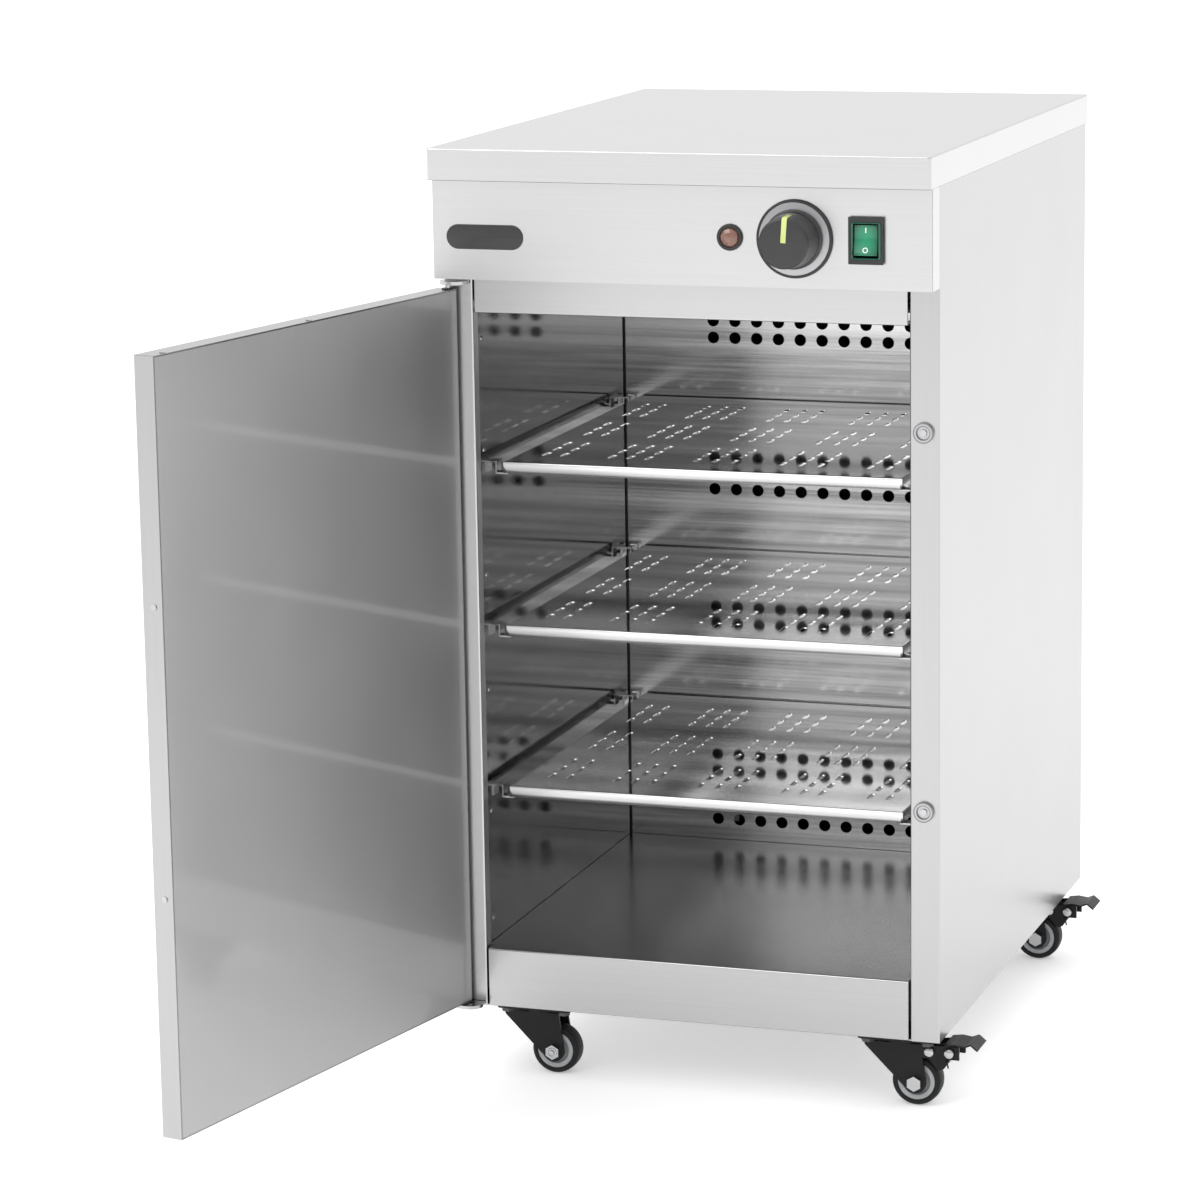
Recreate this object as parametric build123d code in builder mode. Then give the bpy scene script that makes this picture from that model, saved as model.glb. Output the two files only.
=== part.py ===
from build123d import *
import os
from math import cos, radians, sin

# Plate warmer cabinet: a heated cupboard folded from stainless sheet, with three
# perforated shelves, a hinged door, a control fascia and four swivel castors.
# Millimetres, +Z up, the front faces -Y.  The origin lies on the floor, under the
# middle of the cabinet.  The door is modelled standing open, as it rests.

# ------------------------------------------------------------ overall sizes
WIDTH = 450.0
DEPTH = 610.0
HEIGHT = 846.0
GROUND_CLEARANCE = 66.0

# ------------------------------------------------------------ sheet metal
SHEET = 1.0  # casing sheet
LINER = 0.8  # chamber sheet
BASE_SHEET = 1.2
BEND = 1.6  # outside radius of a visible fold
FIT = 0.2  # gap between fixed sheets that meet
SMALL_ROUND_SIDES = 8  # sides of the small holes, shanks and heads that repeat

# ------------------------------------------------------------ casing
COVER_LIP = 28.0
COVER_CORNER = 3.0
COVER_RETURN_THICKNESS = SHEET
FASCIA_SETBACK = 11.0
FASCIA_DROP = 115.0  # fascia's lower edge below the top
POST_SETBACK = 35.0
POST_WIDTH = 26.3
POST_RETURN = 12.0
REAR_FLANGE = 15.0
BASE_FLANGE = 15.0
RAIL_GAP = 1.6  # dark line between a post and the rail beside it
HEADER_SHOWING = 32.5  # header rail below the fascia
HEADER_HEIGHT = 46.0
HEADER_RETURN = 20.0

BODY_HALF = WIDTH / 2 - SHEET - FIT
BODY_REAR = DEPTH / 2 - SHEET - FIT
BODY_TOP = HEIGHT - SHEET - FIT
BASE_Z = GROUND_CLEARANCE
COVER_BOTTOM = HEIGHT - COVER_LIP
FASCIA_Y = -DEPTH / 2 + FASCIA_SETBACK
FASCIA_BOTTOM = HEIGHT - FASCIA_DROP
HEADER_BOTTOM = FASCIA_BOTTOM - HEADER_SHOWING
POST_Y = -DEPTH / 2 + POST_SETBACK
POST_INNER = BODY_HALF - POST_WIDTH
RAIL_HALF = POST_INNER - RAIL_GAP
FLANGE_Y = BODY_REAR - SHEET - FIT  # rear face of the side panels' flanges
INSIDE_HALF = BODY_HALF - SHEET - FIT  # what fits between the side panels

# ------------------------------------------------------------ heated chamber
WALL_DEPTH = 25.0  # casing's side to the chamber
PLINTH_HEIGHT = 54.0  # apron in front of the chamber's floor
CEILING_DROP = 23.0  # ceiling below the fascia's lower edge
DUCT_DEPTH = 149.0  # chamber's back to the casing's rear
FLOOR_FLANGE = 12.0
WALL_FRONT_GAP = 8.0  # liner walls start this far behind the posts

CHAMBER_HALF = WIDTH / 2 - WALL_DEPTH
CHAMBER_FLOOR = BASE_Z + PLINTH_HEIGHT
CHAMBER_CEILING = FASCIA_BOTTOM - CEILING_DROP
CHAMBER_BACK = DEPTH / 2 - DUCT_DEPTH
WALL_FRONT = POST_Y + WALL_FRONT_GAP

AIR_HOLE_DIAMETER = 11.6
AIR_HOLE_PITCH = 21.8
AIR_ROW_PITCH = 16.5
AIR_HOLE_COLUMNS = 11
AIR_ABOVE_FLOOR = 28.8  # middle of the lowest pair of rows
AIR_ABOVE_SHELF = 66.8  # middle of the other pairs

# ------------------------------------------------------------ shelves
LOW_SHELF_RISE = 144.5  # lowest shelf above the floor
HIGH_SHELF_DROP = 146.5  # highest shelf below the ceiling
SHELF_SIDE_GAP = 17.0
SHELF_SETBACK = 30.0  # behind the posts
SHELF_REAR_GAP = 4.0
SHELF_LIP = 10.0
SHELF_SHEET = 1.0
SLOT_WIDTH = 5.0
SLOT_LENGTH = 18.0
SLOT_PITCH_X = 17.2
SLOT_PITCH_Y = 28.5
SLOT_CLUSTER_X = 79.3
SLOT_CLUSTER_Y = 114.3
SLOT_SHIFT = -5.0  # middle of the slot pattern, from the shelf's middle
SLOT_MARGIN = 12.0  # plain metal kept along a shelf's sides

LOW_SHELF_TOP = CHAMBER_FLOOR + LOW_SHELF_RISE
HIGH_SHELF_TOP = CHAMBER_CEILING - HIGH_SHELF_DROP
SHELF_TOPS = {
    "bottom": LOW_SHELF_TOP,
    "middle": (LOW_SHELF_TOP + HIGH_SHELF_TOP) / 2,
    "top": HIGH_SHELF_TOP,
}
AIR_ROWS = [CHAMBER_FLOOR + AIR_ABOVE_FLOOR] + [z + AIR_ABOVE_SHELF for z in SHELF_TOPS.values()]
SHELF_HALF = CHAMBER_HALF - SHELF_SIDE_GAP
SHELF_FRONT = POST_Y + SHELF_SETBACK
SHELF_REAR = CHAMBER_BACK - SHELF_REAR_GAP
SHELF_MIDDLE = (SHELF_FRONT + SHELF_REAR) / 2

HOOK_SHEET = 1.2
HOOK_WIDTH = 12.0
HOOK_ARM = 10.0
HOOK_LIP = 4.0
HOOK_LIP_GAP = 1.0  # between the hook's lip and the shelf flange it holds
HOOK_INSET = 8.0  # middle of a hook from the shelf's end

# ------------------------------------------------------------ door
DOOR_SIDE_GAP = 1.3  # door edge inside the casing's side
DOOR_BOTTOM_GAP = 5.4
DOOR_TOP_GAP = 11.0
DOOR_THICKNESS = 20.0
DOOR_STANDOFF = 4.0  # closed door to the posts
DOOR_OPEN_ANGLE = 102.0  # from closed to the place where it rests
DOOR_RETURN = 12.0  # depth of the inner skin's folded edges
HINGE_INSET = 5.5  # pin from the door's edge and from its inner face

DOOR_WIDTH = 2 * (BODY_HALF - DOOR_SIDE_GAP)
DOOR_BOTTOM = BASE_Z + DOOR_BOTTOM_GAP
DOOR_TOP = FASCIA_BOTTOM - DOOR_TOP_GAP
DOOR_HEIGHT = DOOR_TOP - DOOR_BOTTOM
PIVOT_X = -DOOR_WIDTH / 2 + HINGE_INSET
PIVOT_Y = POST_Y - DOOR_STANDOFF - HINGE_INSET
DOOR_MIDDLE = (DOOR_WIDTH / 2 - HINGE_INSET, HINGE_INSET - DOOR_THICKNESS / 2)

# The door's own plane: x along its width from the pin, y towards its inner face.
DOOR_SWING = radians(-DOOR_OPEN_ANGLE)
DOOR = Plane(
    origin=(PIVOT_X, PIVOT_Y, 0), x_dir=(cos(DOOR_SWING), sin(DOOR_SWING), 0), z_dir=(0, 0, 1)
)
TOWARDS_INSIDE = Axis(DOOR.origin, DOOR.y_dir)

# ------------------------------------------------------------ hinges
PIN_DIAMETER = 5.0
PIN_CLEARANCE = 0.05
PIN_REACH = 12.0  # pin beyond its bracket
BUSH_DIAMETER = 8.0
BUSH_LENGTH = 10.0
BUSH_FLANGE_DIAMETER = 10.6
BUSH_FLANGE = 1.2
BRACKET_THICKNESS = 3.0
BRACKET_TAB_WIDTH = 23.0
BRACKET_TAB_LENGTH = 25.0
BRACKET_NECK = 21.2
BRACKET_DEPTH = 40.0  # behind the post
BRACKET_LEG = 26.0
BRACKET_LEG_THICKNESS = 2.0
BRACKET_TOP_GAP = 3.0  # upper bracket below the fascia

BRACKET_LEFT = -(INSIDE_HALF - BASE_SHEET - FIT)
BRACKET_BOTTOM_Z = BASE_Z + BASE_SHEET
BRACKET_TOP_Z = FASCIA_BOTTOM - BRACKET_TOP_GAP - BRACKET_THICKNESS
NOTCH_SLACK = 0.4

# ------------------------------------------------------------ controls
CONTROL_DROP = 72.5  # middle of the controls below the top
LAMP_INSET = 178.7  # from the right side
KNOB_INSET = 121.3
SWITCH_INSET = 58.3
BADGE_INSET = 49.0  # from the left side
BADGE_DROP = 77.5
BADGE_WIDTH = 70.6
BADGE_HEIGHT = 21.5
BADGE_THICKNESS = 1.0

BEZEL_DIAMETER = 67.5
BEZEL_THICKNESS = 3.0
KNOB_BASE_DIAMETER = 51.0
KNOB_FACE_DIAMETER = 43.5
KNOB_SKIRT = 4.0
KNOB_LENGTH = 33.0
KNOB_GAP = 0.8
KNOB_EDGE = 2.5
SPINDLE_DIAMETER = 6.0
SPINDLE_FIT = 0.08
SPINDLE_SOCKET = 16.0
NECK_DIAMETER = 10.0
THERMOSTAT_WIDTH = 36.0
THERMOSTAT_HEIGHT = 44.0
THERMOSTAT_DEPTH = 34.0

LAMP_FLANGE_DIAMETER = 23.0
LAMP_FLANGE = 2.4
LAMP_BODY_DIAMETER = 13.0
LAMP_DEPTH = 26.0
LENS_DIAMETER = 17.0
LENS_HEIGHT = 3.6
LENS_FACETS = 12
LENS_TAPER = 35.0

SWITCH_WIDTH = 33.2
SWITCH_HEIGHT = 42.7
SWITCH_FRAME = 3.5
SWITCH_CORNER = 2.0
SWITCH_BODY_WIDTH = 27.0
SWITCH_BODY_HEIGHT = 36.0
SWITCH_BODY_DEPTH = 24.0
ROCKER_WIDTH = 21.0
ROCKER_REACH = 14.4  # pivot to the rocker's front corners
ROCKER_CORNER_OUT = 5.4
ROCKER_VALLEY_OUT = 3.6
ROCKER_REAR_IN = 7.0
ROCKER_TILT = 7.5  # either side of square, the upper end pressed in at rest
ROCKER_PIN_DIAMETER = 3.0
ROCKER_GAP = 0.5

CONTROL_Z = HEIGHT - CONTROL_DROP
LAMP_X = WIDTH / 2 - LAMP_INSET
KNOB_X = WIDTH / 2 - KNOB_INSET
SWITCH_X = WIDTH / 2 - SWITCH_INSET
BADGE_X = BADGE_INSET - WIDTH / 2
BADGE_Z = HEIGHT - BADGE_DROP
BEZEL_FRONT = FASCIA_Y - BEZEL_THICKNESS
KNOB_BACK = BEZEL_FRONT - KNOB_GAP
ROCKER_PIVOT_Y = FASCIA_Y - SWITCH_FRAME + ROCKER_VALLEY_OUT

# ------------------------------------------------------------ door catches
LOW_CATCH_RISE = 208.2  # above the base
HIGH_CATCH_DROP = 123.8  # below the fascia
CATCH_DIAMETER = 18.0
CATCH_RECESS_DIAMETER = 11.5
CATCH_HEIGHT = 3.0
CATCH_SCREW_DIAMETER = 6.0
CATCH_INSET = 13.9  # from the casing's side

CATCH_X = BODY_HALF - CATCH_INSET
CATCH_HEIGHTS = (BASE_Z + LOW_CATCH_RISE, FASCIA_BOTTOM - HIGH_CATCH_DROP)

# ------------------------------------------------------------ heater and rear
ELEMENT_DIAMETER = 8.5
ELEMENT_SIDE_GAP = 40.0  # element's ends inside the chamber's width
ELEMENT_PITCH = 60.0
ELEMENT_RISE = 64.0  # element's middle above the chamber's floor
ELEMENT_REAR_GAP = 90.0  # element to the casing's rear
ELEMENT_BRACKET_INSET = 60.0  # from the element's ends
ELEMENT_BRACKET_THICKNESS = 1.5
ELEMENT_BRACKET_WIDTH = 12.0
ELEMENT_BRACKET_HEIGHT = 90.0
TERMINAL_SIZE = (52.0, 22.0, 26.0)
TERMINAL_INSET = (75.0, 33.0)  # from the left side and from the rear
GLAND_INSET = 55.0  # from the left side
GLAND_RISE = 48.0  # above the base
GLAND_FLANGE = 26.0
GLAND_BODY = 18.0
GLAND_BORE = 8.0
GLAND_NUT_WALL = 2.0
GLAND_REACH = 20.0
GLAND_THREAD = 10.0
REAR_SCREW_HEAD = 8.0
REAR_SCREW_HEIGHT = 1.1
REAR_SCREW_SIDE = 11.8  # from the casing's side
REAR_SCREW_END = 39.4  # first and last screw from the panel's ends
REAR_SCREW_ROWS = 5
INSULATION_REAR = 20.0
INSULATION_TOP = 32.0
INSULATION_FLOOR = 38.0
INSULATION_TOP_SETBACK = 22.0  # slab above the ceiling, behind the walls' front

ELEMENT_SPAN = 2 * (CHAMBER_HALF - ELEMENT_SIDE_GAP)
ELEMENT_Z = CHAMBER_FLOOR + ELEMENT_RISE
ELEMENT_Y = DEPTH / 2 - ELEMENT_REAR_GAP
ELEMENT_BRACKET_X = ELEMENT_SPAN / 2 - ELEMENT_BRACKET_INSET
TERMINAL_PLACE = (TERMINAL_INSET[0] - WIDTH / 2, DEPTH / 2 - TERMINAL_INSET[1])
GLAND_PLACE = (GLAND_INSET - WIDTH / 2, BASE_Z + GLAND_RISE)
REAR_SCREW_X = BODY_HALF - REAR_SCREW_SIDE
REAR_SCREW_PITCH = (BODY_TOP - BASE_Z - 2 * REAR_SCREW_END) / (REAR_SCREW_ROWS - 1)

# ------------------------------------------------------------ castors
CASTOR_SIDE = 42.0  # swivel axis from the cabinet's side
CASTOR_BESIDE_HINGE = 70.0  # the same, beside the lower hinge bracket
CASTOR_FRONT = 65.0  # swivel axis from the cabinet's front
CASTOR_REAR = 69.0
# Name, swivel axis and whether it has a brake.
CASTORS = (
    ("front_left", CASTOR_BESIDE_HINGE - WIDTH / 2, CASTOR_FRONT - DEPTH / 2, False),
    ("front_right", WIDTH / 2 - CASTOR_SIDE, CASTOR_FRONT - DEPTH / 2, True),
    ("rear_left", CASTOR_SIDE - WIDTH / 2, DEPTH / 2 - CASTOR_REAR, False),
    ("rear_right", WIDTH / 2 - CASTOR_SIDE, DEPTH / 2 - CASTOR_REAR, True),
)
WHEEL_DIAMETER = 45.0
WHEEL_WIDTH = 18.0
WHEEL_TRAIL = 14.0
TYRE_BORE = 34.0
RIM_RING = 3.0
HUB_DIAMETER = 15.0
HUB_WIDTH = 20.0
WEB_THICKNESS = 6.0
AXLE_DIAMETER = 8.0
AXLE_CLEARANCE = 0.08
AXLE_HEX = 12.0
AXLE_HEAD = 5.0
PLATE_X = 70.0
PLATE_Y = 56.0
PLATE_THICKNESS = 2.0
PLATE_CORNER = 4.0
BOLT_PITCH_X = 54.0
BOLT_PITCH_Y = 40.0
BOLT_DIAMETER = 6.0
BOLT_CLEARANCE = 0.3
BOLT_HEX = 10.0
BOLT_HEAD = 4.0
NUT_HEIGHT = 5.0
RACE_DIAMETER = 32.0
RACE_GAP = 0.5
FORK_SHEET = 3.0
FORK_LEG = 2.5
FORK_GAP = 21.0
FORK_TOP = 58.0
FORK_BACK = 32.0
FORK_FRONT = 19.0
FORK_BAND = 3.5
FORK_BOSS_DIAMETER = 20.0
KINGPIN_DIAMETER = 10.0
KINGPIN_HEAD_DIAMETER = 16.0
KINGPIN_HEAD = 3.0
KINGPIN_GAP = 0.3

BRAKE_PIVOT = (27.0, 52.0)
BRAKE_SECOND_RIVET = (45.0, 52.0)
BRAKE_LOBE_END = 54.0
BRAKE_LOBE_BOTTOM = 46.0
BRAKE_LOBE_CORNER = 2.0
BRAKE_PIN_DIAMETER = 6.0
BRAKE_RIVET_HEAD = 10.0
BRAKE_RIVET_HEIGHT = 1.5
BRAKE_WINDOW = 19.0  # crown cut away from here, for the pedal
PEDAL_SHEET = 1.5
PEDAL_EAR_GAP = 0.7
PEDAL_WIDTH = 32.0
PEDAL_START = 41.5
PEDAL_TIP = 71.0
PEDAL_WAVE = 9.0
PEDAL_RISE = 1.2
PEDAL_TURN_DOWN = 6.0
PEDAL_EAR_HEIGHT = 6.0
PEDAL_LIFT = 0.7  # pedal above the lobes of the fork
SHOE_PLACE = (36.0, 40.5)
SHOE_DIAMETER = 11.0

WHEEL_Z = WHEEL_DIAMETER / 2
PLATE_BOTTOM = BASE_Z - PLATE_THICKNESS
FORK_HALF = FORK_GAP / 2 + FORK_LEG
RIM_DIAMETER = TYRE_BORE - 0.2


def folded_sheet(outline, thickness, plane, length, side, radius=0.0):
    """A sheet folded along an outline of corners, which lies in the given plane."""
    with BuildPart() as sheet:
        with BuildSketch(plane):
            with BuildLine():
                if radius > 0:
                    FilletPolyline(*outline, radius=radius)
                else:
                    Polyline(*outline)
                offset(amount=thickness, side=side)
            make_face()
        extrude(amount=length)
    return sheet.part


def small_round(diameter, mode=Mode.ADD):
    """A small round that repeats, drawn with few sides that touch its circle."""
    return RegularPolygon(diameter / 2, SMALL_ROUND_SIDES, major_radius=False, mode=mode)


def turned_plane(x, y, z, outward=(0, -1, 0)):
    """A plane through a horizontal axis: local x along the axis, local y up."""
    return Plane(
        origin=(x, y, z), x_dir=outward, z_dir=Vector(*outward).cross(Vector(0, 0, 1))
    )


os.makedirs("parts", exist_ok=True)

# ============================================================ casing
with BuildPart() as top_cover:
    with BuildSketch(Plane.XY.offset(HEIGHT)):
        RectangleRounded(WIDTH, DEPTH, COVER_CORNER)
    extrude(amount=-COVER_LIP)
    fillet(top_cover.faces().sort_by(Axis.Z)[-1].edges(), radius=BEND)
    offset(amount=-SHEET, openings=top_cover.faces().sort_by(Axis.Z)[0])
    # The front lip turns in to meet the fascia.
    with BuildSketch(Plane.XY.offset(COVER_BOTTOM)):
        with Locations((0, -DEPTH / 2 + SHEET)):
            Rectangle(
                WIDTH - 2 * SHEET, FASCIA_SETBACK - SHEET - FIT, align=(Align.CENTER, Align.MIN)
            )
    extrude(amount=COVER_RETURN_THICKNESS)
top_cover.part.label = "top_cover"
export_step(top_cover.part, "parts/top_cover.step")


def side_panel_blank(hand):
    """A side panel with its post, the post's return and the rear flange."""
    outline = (
        (hand * POST_INNER, POST_Y + POST_RETURN),
        (hand * POST_INNER, POST_Y),
        (hand * BODY_HALF, POST_Y),
        (hand * BODY_HALF, FLANGE_Y),
        (hand * (BODY_HALF - REAR_FLANGE), FLANGE_Y),
    )
    side = Side.RIGHT if hand < 0 else Side.LEFT
    plane = Plane.XY.offset(BASE_Z)
    with BuildPart() as panel:
        add(folded_sheet(outline, SHEET, plane, BODY_TOP - BASE_Z, side, BEND))
        # The post's return stops above the base pan's flange.
        with BuildSketch(plane):
            with Locations((hand * POST_INNER, POST_Y + SHEET)):
                Rectangle(2 * BEND + 2 * SHEET, POST_RETURN * 2, align=(Align.CENTER, Align.MIN))
        extrude(amount=BASE_FLANGE + FIT, mode=Mode.SUBTRACT)
    return panel.part


with BuildPart() as left_side_panel:
    add(side_panel_blank(-1))
    # Slots for the two hinge brackets.
    for slot_bottom in (BASE_Z, BRACKET_TOP_Z - NOTCH_SLACK):
        slot_top = BRACKET_BOTTOM_Z if slot_bottom == BASE_Z else BRACKET_TOP_Z
        with BuildSketch(Plane.XY.offset(slot_bottom)):
            with Locations((BRACKET_LEFT - NOTCH_SLACK, POST_Y - SHEET)):
                Rectangle(
                    BRACKET_NECK + 2 * NOTCH_SLACK, 3 * SHEET, align=(Align.MIN, Align.MIN)
                )
        extrude(
            amount=slot_top + BRACKET_THICKNESS + NOTCH_SLACK - slot_bottom, mode=Mode.SUBTRACT
        )
left_side_panel.part.label = "left_side_panel"
export_step(left_side_panel.part, "parts/left_side_panel.step")

with BuildPart() as right_side_panel:
    add(side_panel_blank(1))
right_side_panel.part.label = "right_side_panel"
export_step(right_side_panel.part, "parts/right_side_panel.step")

with BuildPart() as rear_panel:
    with BuildSketch(Plane.XZ.offset(-BODY_REAR)):
        with Locations((0, (BASE_Z + BODY_TOP) / 2)):
            Rectangle(2 * INSIDE_HALF, BODY_TOP - BASE_Z)
        with Locations(GLAND_PLACE):
            Circle(GLAND_BODY / 2 + FIT, mode=Mode.SUBTRACT)
    extrude(amount=SHEET)
rear_panel.part.label = "rear_panel"
export_step(rear_panel.part, "parts/rear_panel.step")

with BuildPart() as rear_screws:
    with BuildSketch(Plane.XZ.offset(-BODY_REAR)):
        with Locations((0, (BASE_Z + BODY_TOP) / 2)):
            with GridLocations(2 * REAR_SCREW_X, REAR_SCREW_PITCH, 2, REAR_SCREW_ROWS):
                small_round(REAR_SCREW_HEAD)
    extrude(amount=-REAR_SCREW_HEIGHT)
rear_screws.part.label = "rear_screws"
export_step(rear_screws.part, "parts/rear_screws.step")

CASTOR_BOLT_SPOTS = [
    (x + i * BOLT_PITCH_X / 2, y + j * BOLT_PITCH_Y / 2)
    for _, x, y, _ in CASTORS
    for i in (-1, 1)
    for j in (-1, 1)
]

BASE_FRONT = POST_Y + SHEET + FIT
with BuildPart() as base_pan:
    with BuildSketch(Plane.XY.offset(BASE_Z)):
        with Locations((0, (BASE_FRONT + FLANGE_Y - SHEET - FIT) / 2)):
            Rectangle(2 * INSIDE_HALF, FLANGE_Y - SHEET - FIT - BASE_FRONT)
    extrude(amount=BASE_FLANGE)
    offset(amount=-BASE_SHEET, openings=base_pan.faces().sort_by(Axis.Z)[-1])
    # The front flange stops behind the apron, clear of the posts and the lower hinge bracket.
    with BuildSketch(Plane.XY.offset(BASE_Z + BASE_SHEET)):
        with Locations((-RAIL_HALF, BASE_FRONT), (RAIL_HALF, BASE_FRONT)):
            Rectangle(2 * (INSIDE_HALF - BASE_SHEET - RAIL_HALF), 2 * BASE_SHEET)
    extrude(amount=BASE_FLANGE, mode=Mode.SUBTRACT)
    with BuildSketch(Plane.XY.offset(BASE_Z)):
        with Locations(*CASTOR_BOLT_SPOTS):
            small_round(BOLT_DIAMETER + 2 * BOLT_CLEARANCE)
    extrude(amount=BASE_SHEET, mode=Mode.SUBTRACT)
base_pan.part.label = "base_pan"
export_step(base_pan.part, "parts/base_pan.step")

with BuildPart() as control_fascia:
    with BuildSketch(Plane.XZ.offset(-FASCIA_Y)):
        with Locations((0, (FASCIA_BOTTOM + BODY_TOP) / 2)):
            Rectangle(2 * BODY_HALF, BODY_TOP - FASCIA_BOTTOM)
    extrude(amount=FASCIA_Y - POST_Y + FIT)
    offset(
        amount=-SHEET,
        openings=[
            control_fascia.faces().sort_by(Axis.Y)[-1],
            control_fascia.faces().sort_by(Axis.Z)[-1],
        ],
    )
    with BuildSketch(Plane.XZ.offset(-FASCIA_Y)):
        with Locations((LAMP_X, CONTROL_Z)):
            Circle(LAMP_BODY_DIAMETER / 2 + FIT)
        with Locations((KNOB_X, CONTROL_Z)):
            Circle(NECK_DIAMETER / 2 + FIT)
        with Locations((SWITCH_X, CONTROL_Z)):
            Rectangle(SWITCH_BODY_WIDTH + 2 * FIT, SWITCH_BODY_HEIGHT + 2 * FIT)
    extrude(amount=-SHEET, mode=Mode.SUBTRACT)
control_fascia.part.label = "control_fascia"
export_step(control_fascia.part, "parts/control_fascia.step")

with BuildPart() as header_rail:
    header_outline = (
        (POST_Y, HEADER_BOTTOM + HEADER_HEIGHT),
        (POST_Y, HEADER_BOTTOM),
        (POST_Y + HEADER_RETURN, HEADER_BOTTOM),
    )
    header_plane = Plane.YZ.offset(-RAIL_HALF)
    add(folded_sheet(header_outline, SHEET, header_plane, 2 * RAIL_HALF, Side.LEFT, BEND))
header_rail.part.label = "header_rail"
export_step(header_rail.part, "parts/header_rail.step")

# ============================================================ heated chamber
with BuildPart() as floor_pan:
    floor_outline = (
        (POST_Y, BASE_Z + FIT),
        (POST_Y, CHAMBER_FLOOR),
        (CHAMBER_BACK - FIT, CHAMBER_FLOOR),
        (CHAMBER_BACK - FIT, CHAMBER_FLOOR - FLOOR_FLANGE),
    )
    floor_half = CHAMBER_HALF - FIT
    floor_plane = Plane.YZ.offset(-floor_half)
    add(folded_sheet(floor_outline, SHEET, floor_plane, 2 * floor_half, Side.RIGHT, BEND))
    # The apron is narrower than the floor, to stand between the posts.
    with BuildSketch(Plane.XY.offset(BASE_Z)):
        for hand in (-1, 1):
            with Locations((hand * (RAIL_HALF + POST_WIDTH / 2), POST_Y - SHEET)):
                Rectangle(
                    POST_WIDTH, SHEET + POST_RETURN + FIT, align=(Align.CENTER, Align.MIN)
                )
    extrude(amount=CHAMBER_FLOOR, mode=Mode.SUBTRACT)
floor_pan.part.label = "floor_pan"
export_step(floor_pan.part, "parts/floor_pan.step")

WALL_BOTTOM = CHAMBER_FLOOR - BASE_FLANGE
for hand, name in ((-1, "left"), (1, "right")):
    wall_outline = (
        (hand * CHAMBER_HALF, WALL_FRONT),
        (hand * CHAMBER_HALF, CHAMBER_BACK + LINER),
        (hand * (INSIDE_HALF - FIT), CHAMBER_BACK + LINER),
    )
    wall_side = Side.LEFT if hand < 0 else Side.RIGHT
    wall_height = CHAMBER_CEILING + LINER - WALL_BOTTOM
    with BuildPart() as inner_wall:
        add(
            folded_sheet(
                wall_outline, LINER, Plane.XY.offset(WALL_BOTTOM), wall_height, wall_side
            )
        )
    inner_wall.part.label = f"inner_wall_{name}"
    export_step(inner_wall.part, f"parts/inner_wall_{name}.step")

with BuildPart() as inner_back_wall:
    back_bottom = CHAMBER_FLOOR - FLOOR_FLANGE
    with BuildSketch(Plane.XZ.offset(-CHAMBER_BACK)):
        with Locations((0, (back_bottom + CHAMBER_CEILING) / 2)):
            Rectangle(2 * (CHAMBER_HALF - FIT), CHAMBER_CEILING - FIT - back_bottom)
        for row in AIR_ROWS:
            with Locations((0, row)):
                with GridLocations(AIR_HOLE_PITCH, AIR_ROW_PITCH, AIR_HOLE_COLUMNS, 2):
                    small_round(AIR_HOLE_DIAMETER, mode=Mode.SUBTRACT)
    extrude(amount=-LINER)
inner_back_wall.part.label = "inner_back_wall"
export_step(inner_back_wall.part, "parts/inner_back_wall.step")

with BuildPart() as inner_ceiling:
    ceiling_front = POST_Y + POST_RETURN + FIT
    ceiling_outline = (
        (ceiling_front, CHAMBER_CEILING + FLOOR_FLANGE),
        (ceiling_front, CHAMBER_CEILING),
        (CHAMBER_BACK - FIT, CHAMBER_CEILING),
        (CHAMBER_BACK - FIT, CHAMBER_CEILING + FLOOR_FLANGE),
    )
    ceiling_plane = Plane.YZ.offset(-floor_half)
    add(folded_sheet(ceiling_outline, LINER, ceiling_plane, 2 * floor_half, Side.LEFT))
inner_ceiling.part.label = "inner_ceiling"
export_step(inner_ceiling.part, "parts/inner_ceiling.step")

# ============================================================ shelves and hooks
SLOT_COLUMNS = [
    cluster * SLOT_CLUSTER_X + column * SLOT_PITCH_X
    for cluster in (-2, -1, 0, 1, 2)
    for column in (-1, 0, 1)
    if abs(cluster * SLOT_CLUSTER_X + column * SLOT_PITCH_X) < SHELF_HALF - SLOT_MARGIN
]
SLOT_ROWS = [
    SHELF_MIDDLE + SLOT_SHIFT + cluster * SLOT_CLUSTER_Y + row * SLOT_PITCH_Y
    for cluster in (-1, 0, 1)
    for row in (-1, 0, 1)
]

for name, shelf_top in SHELF_TOPS.items():
    with BuildPart() as shelf:
        with BuildSketch(Plane.XY.offset(shelf_top)):
            with Locations((0, SHELF_MIDDLE)):
                Rectangle(2 * SHELF_HALF, SHELF_REAR - SHELF_FRONT)
        extrude(amount=-SHELF_LIP)
        fillet(shelf.faces().sort_by(Axis.Z)[-1].edges(), radius=BEND)
        offset(amount=-SHELF_SHEET, openings=shelf.faces().sort_by(Axis.Z)[0])
        with BuildSketch(Plane.XY.offset(shelf_top)):
            with Locations(*[(x, y) for x in SLOT_COLUMNS for y in SLOT_ROWS]):
                Rectangle(SLOT_WIDTH, SLOT_LENGTH)
        extrude(amount=-SHELF_SHEET, mode=Mode.SUBTRACT)
    shelf.part.label = f"shelf_{name}"
    export_step(shelf.part, f"parts/shelf_{name}.step")

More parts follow.
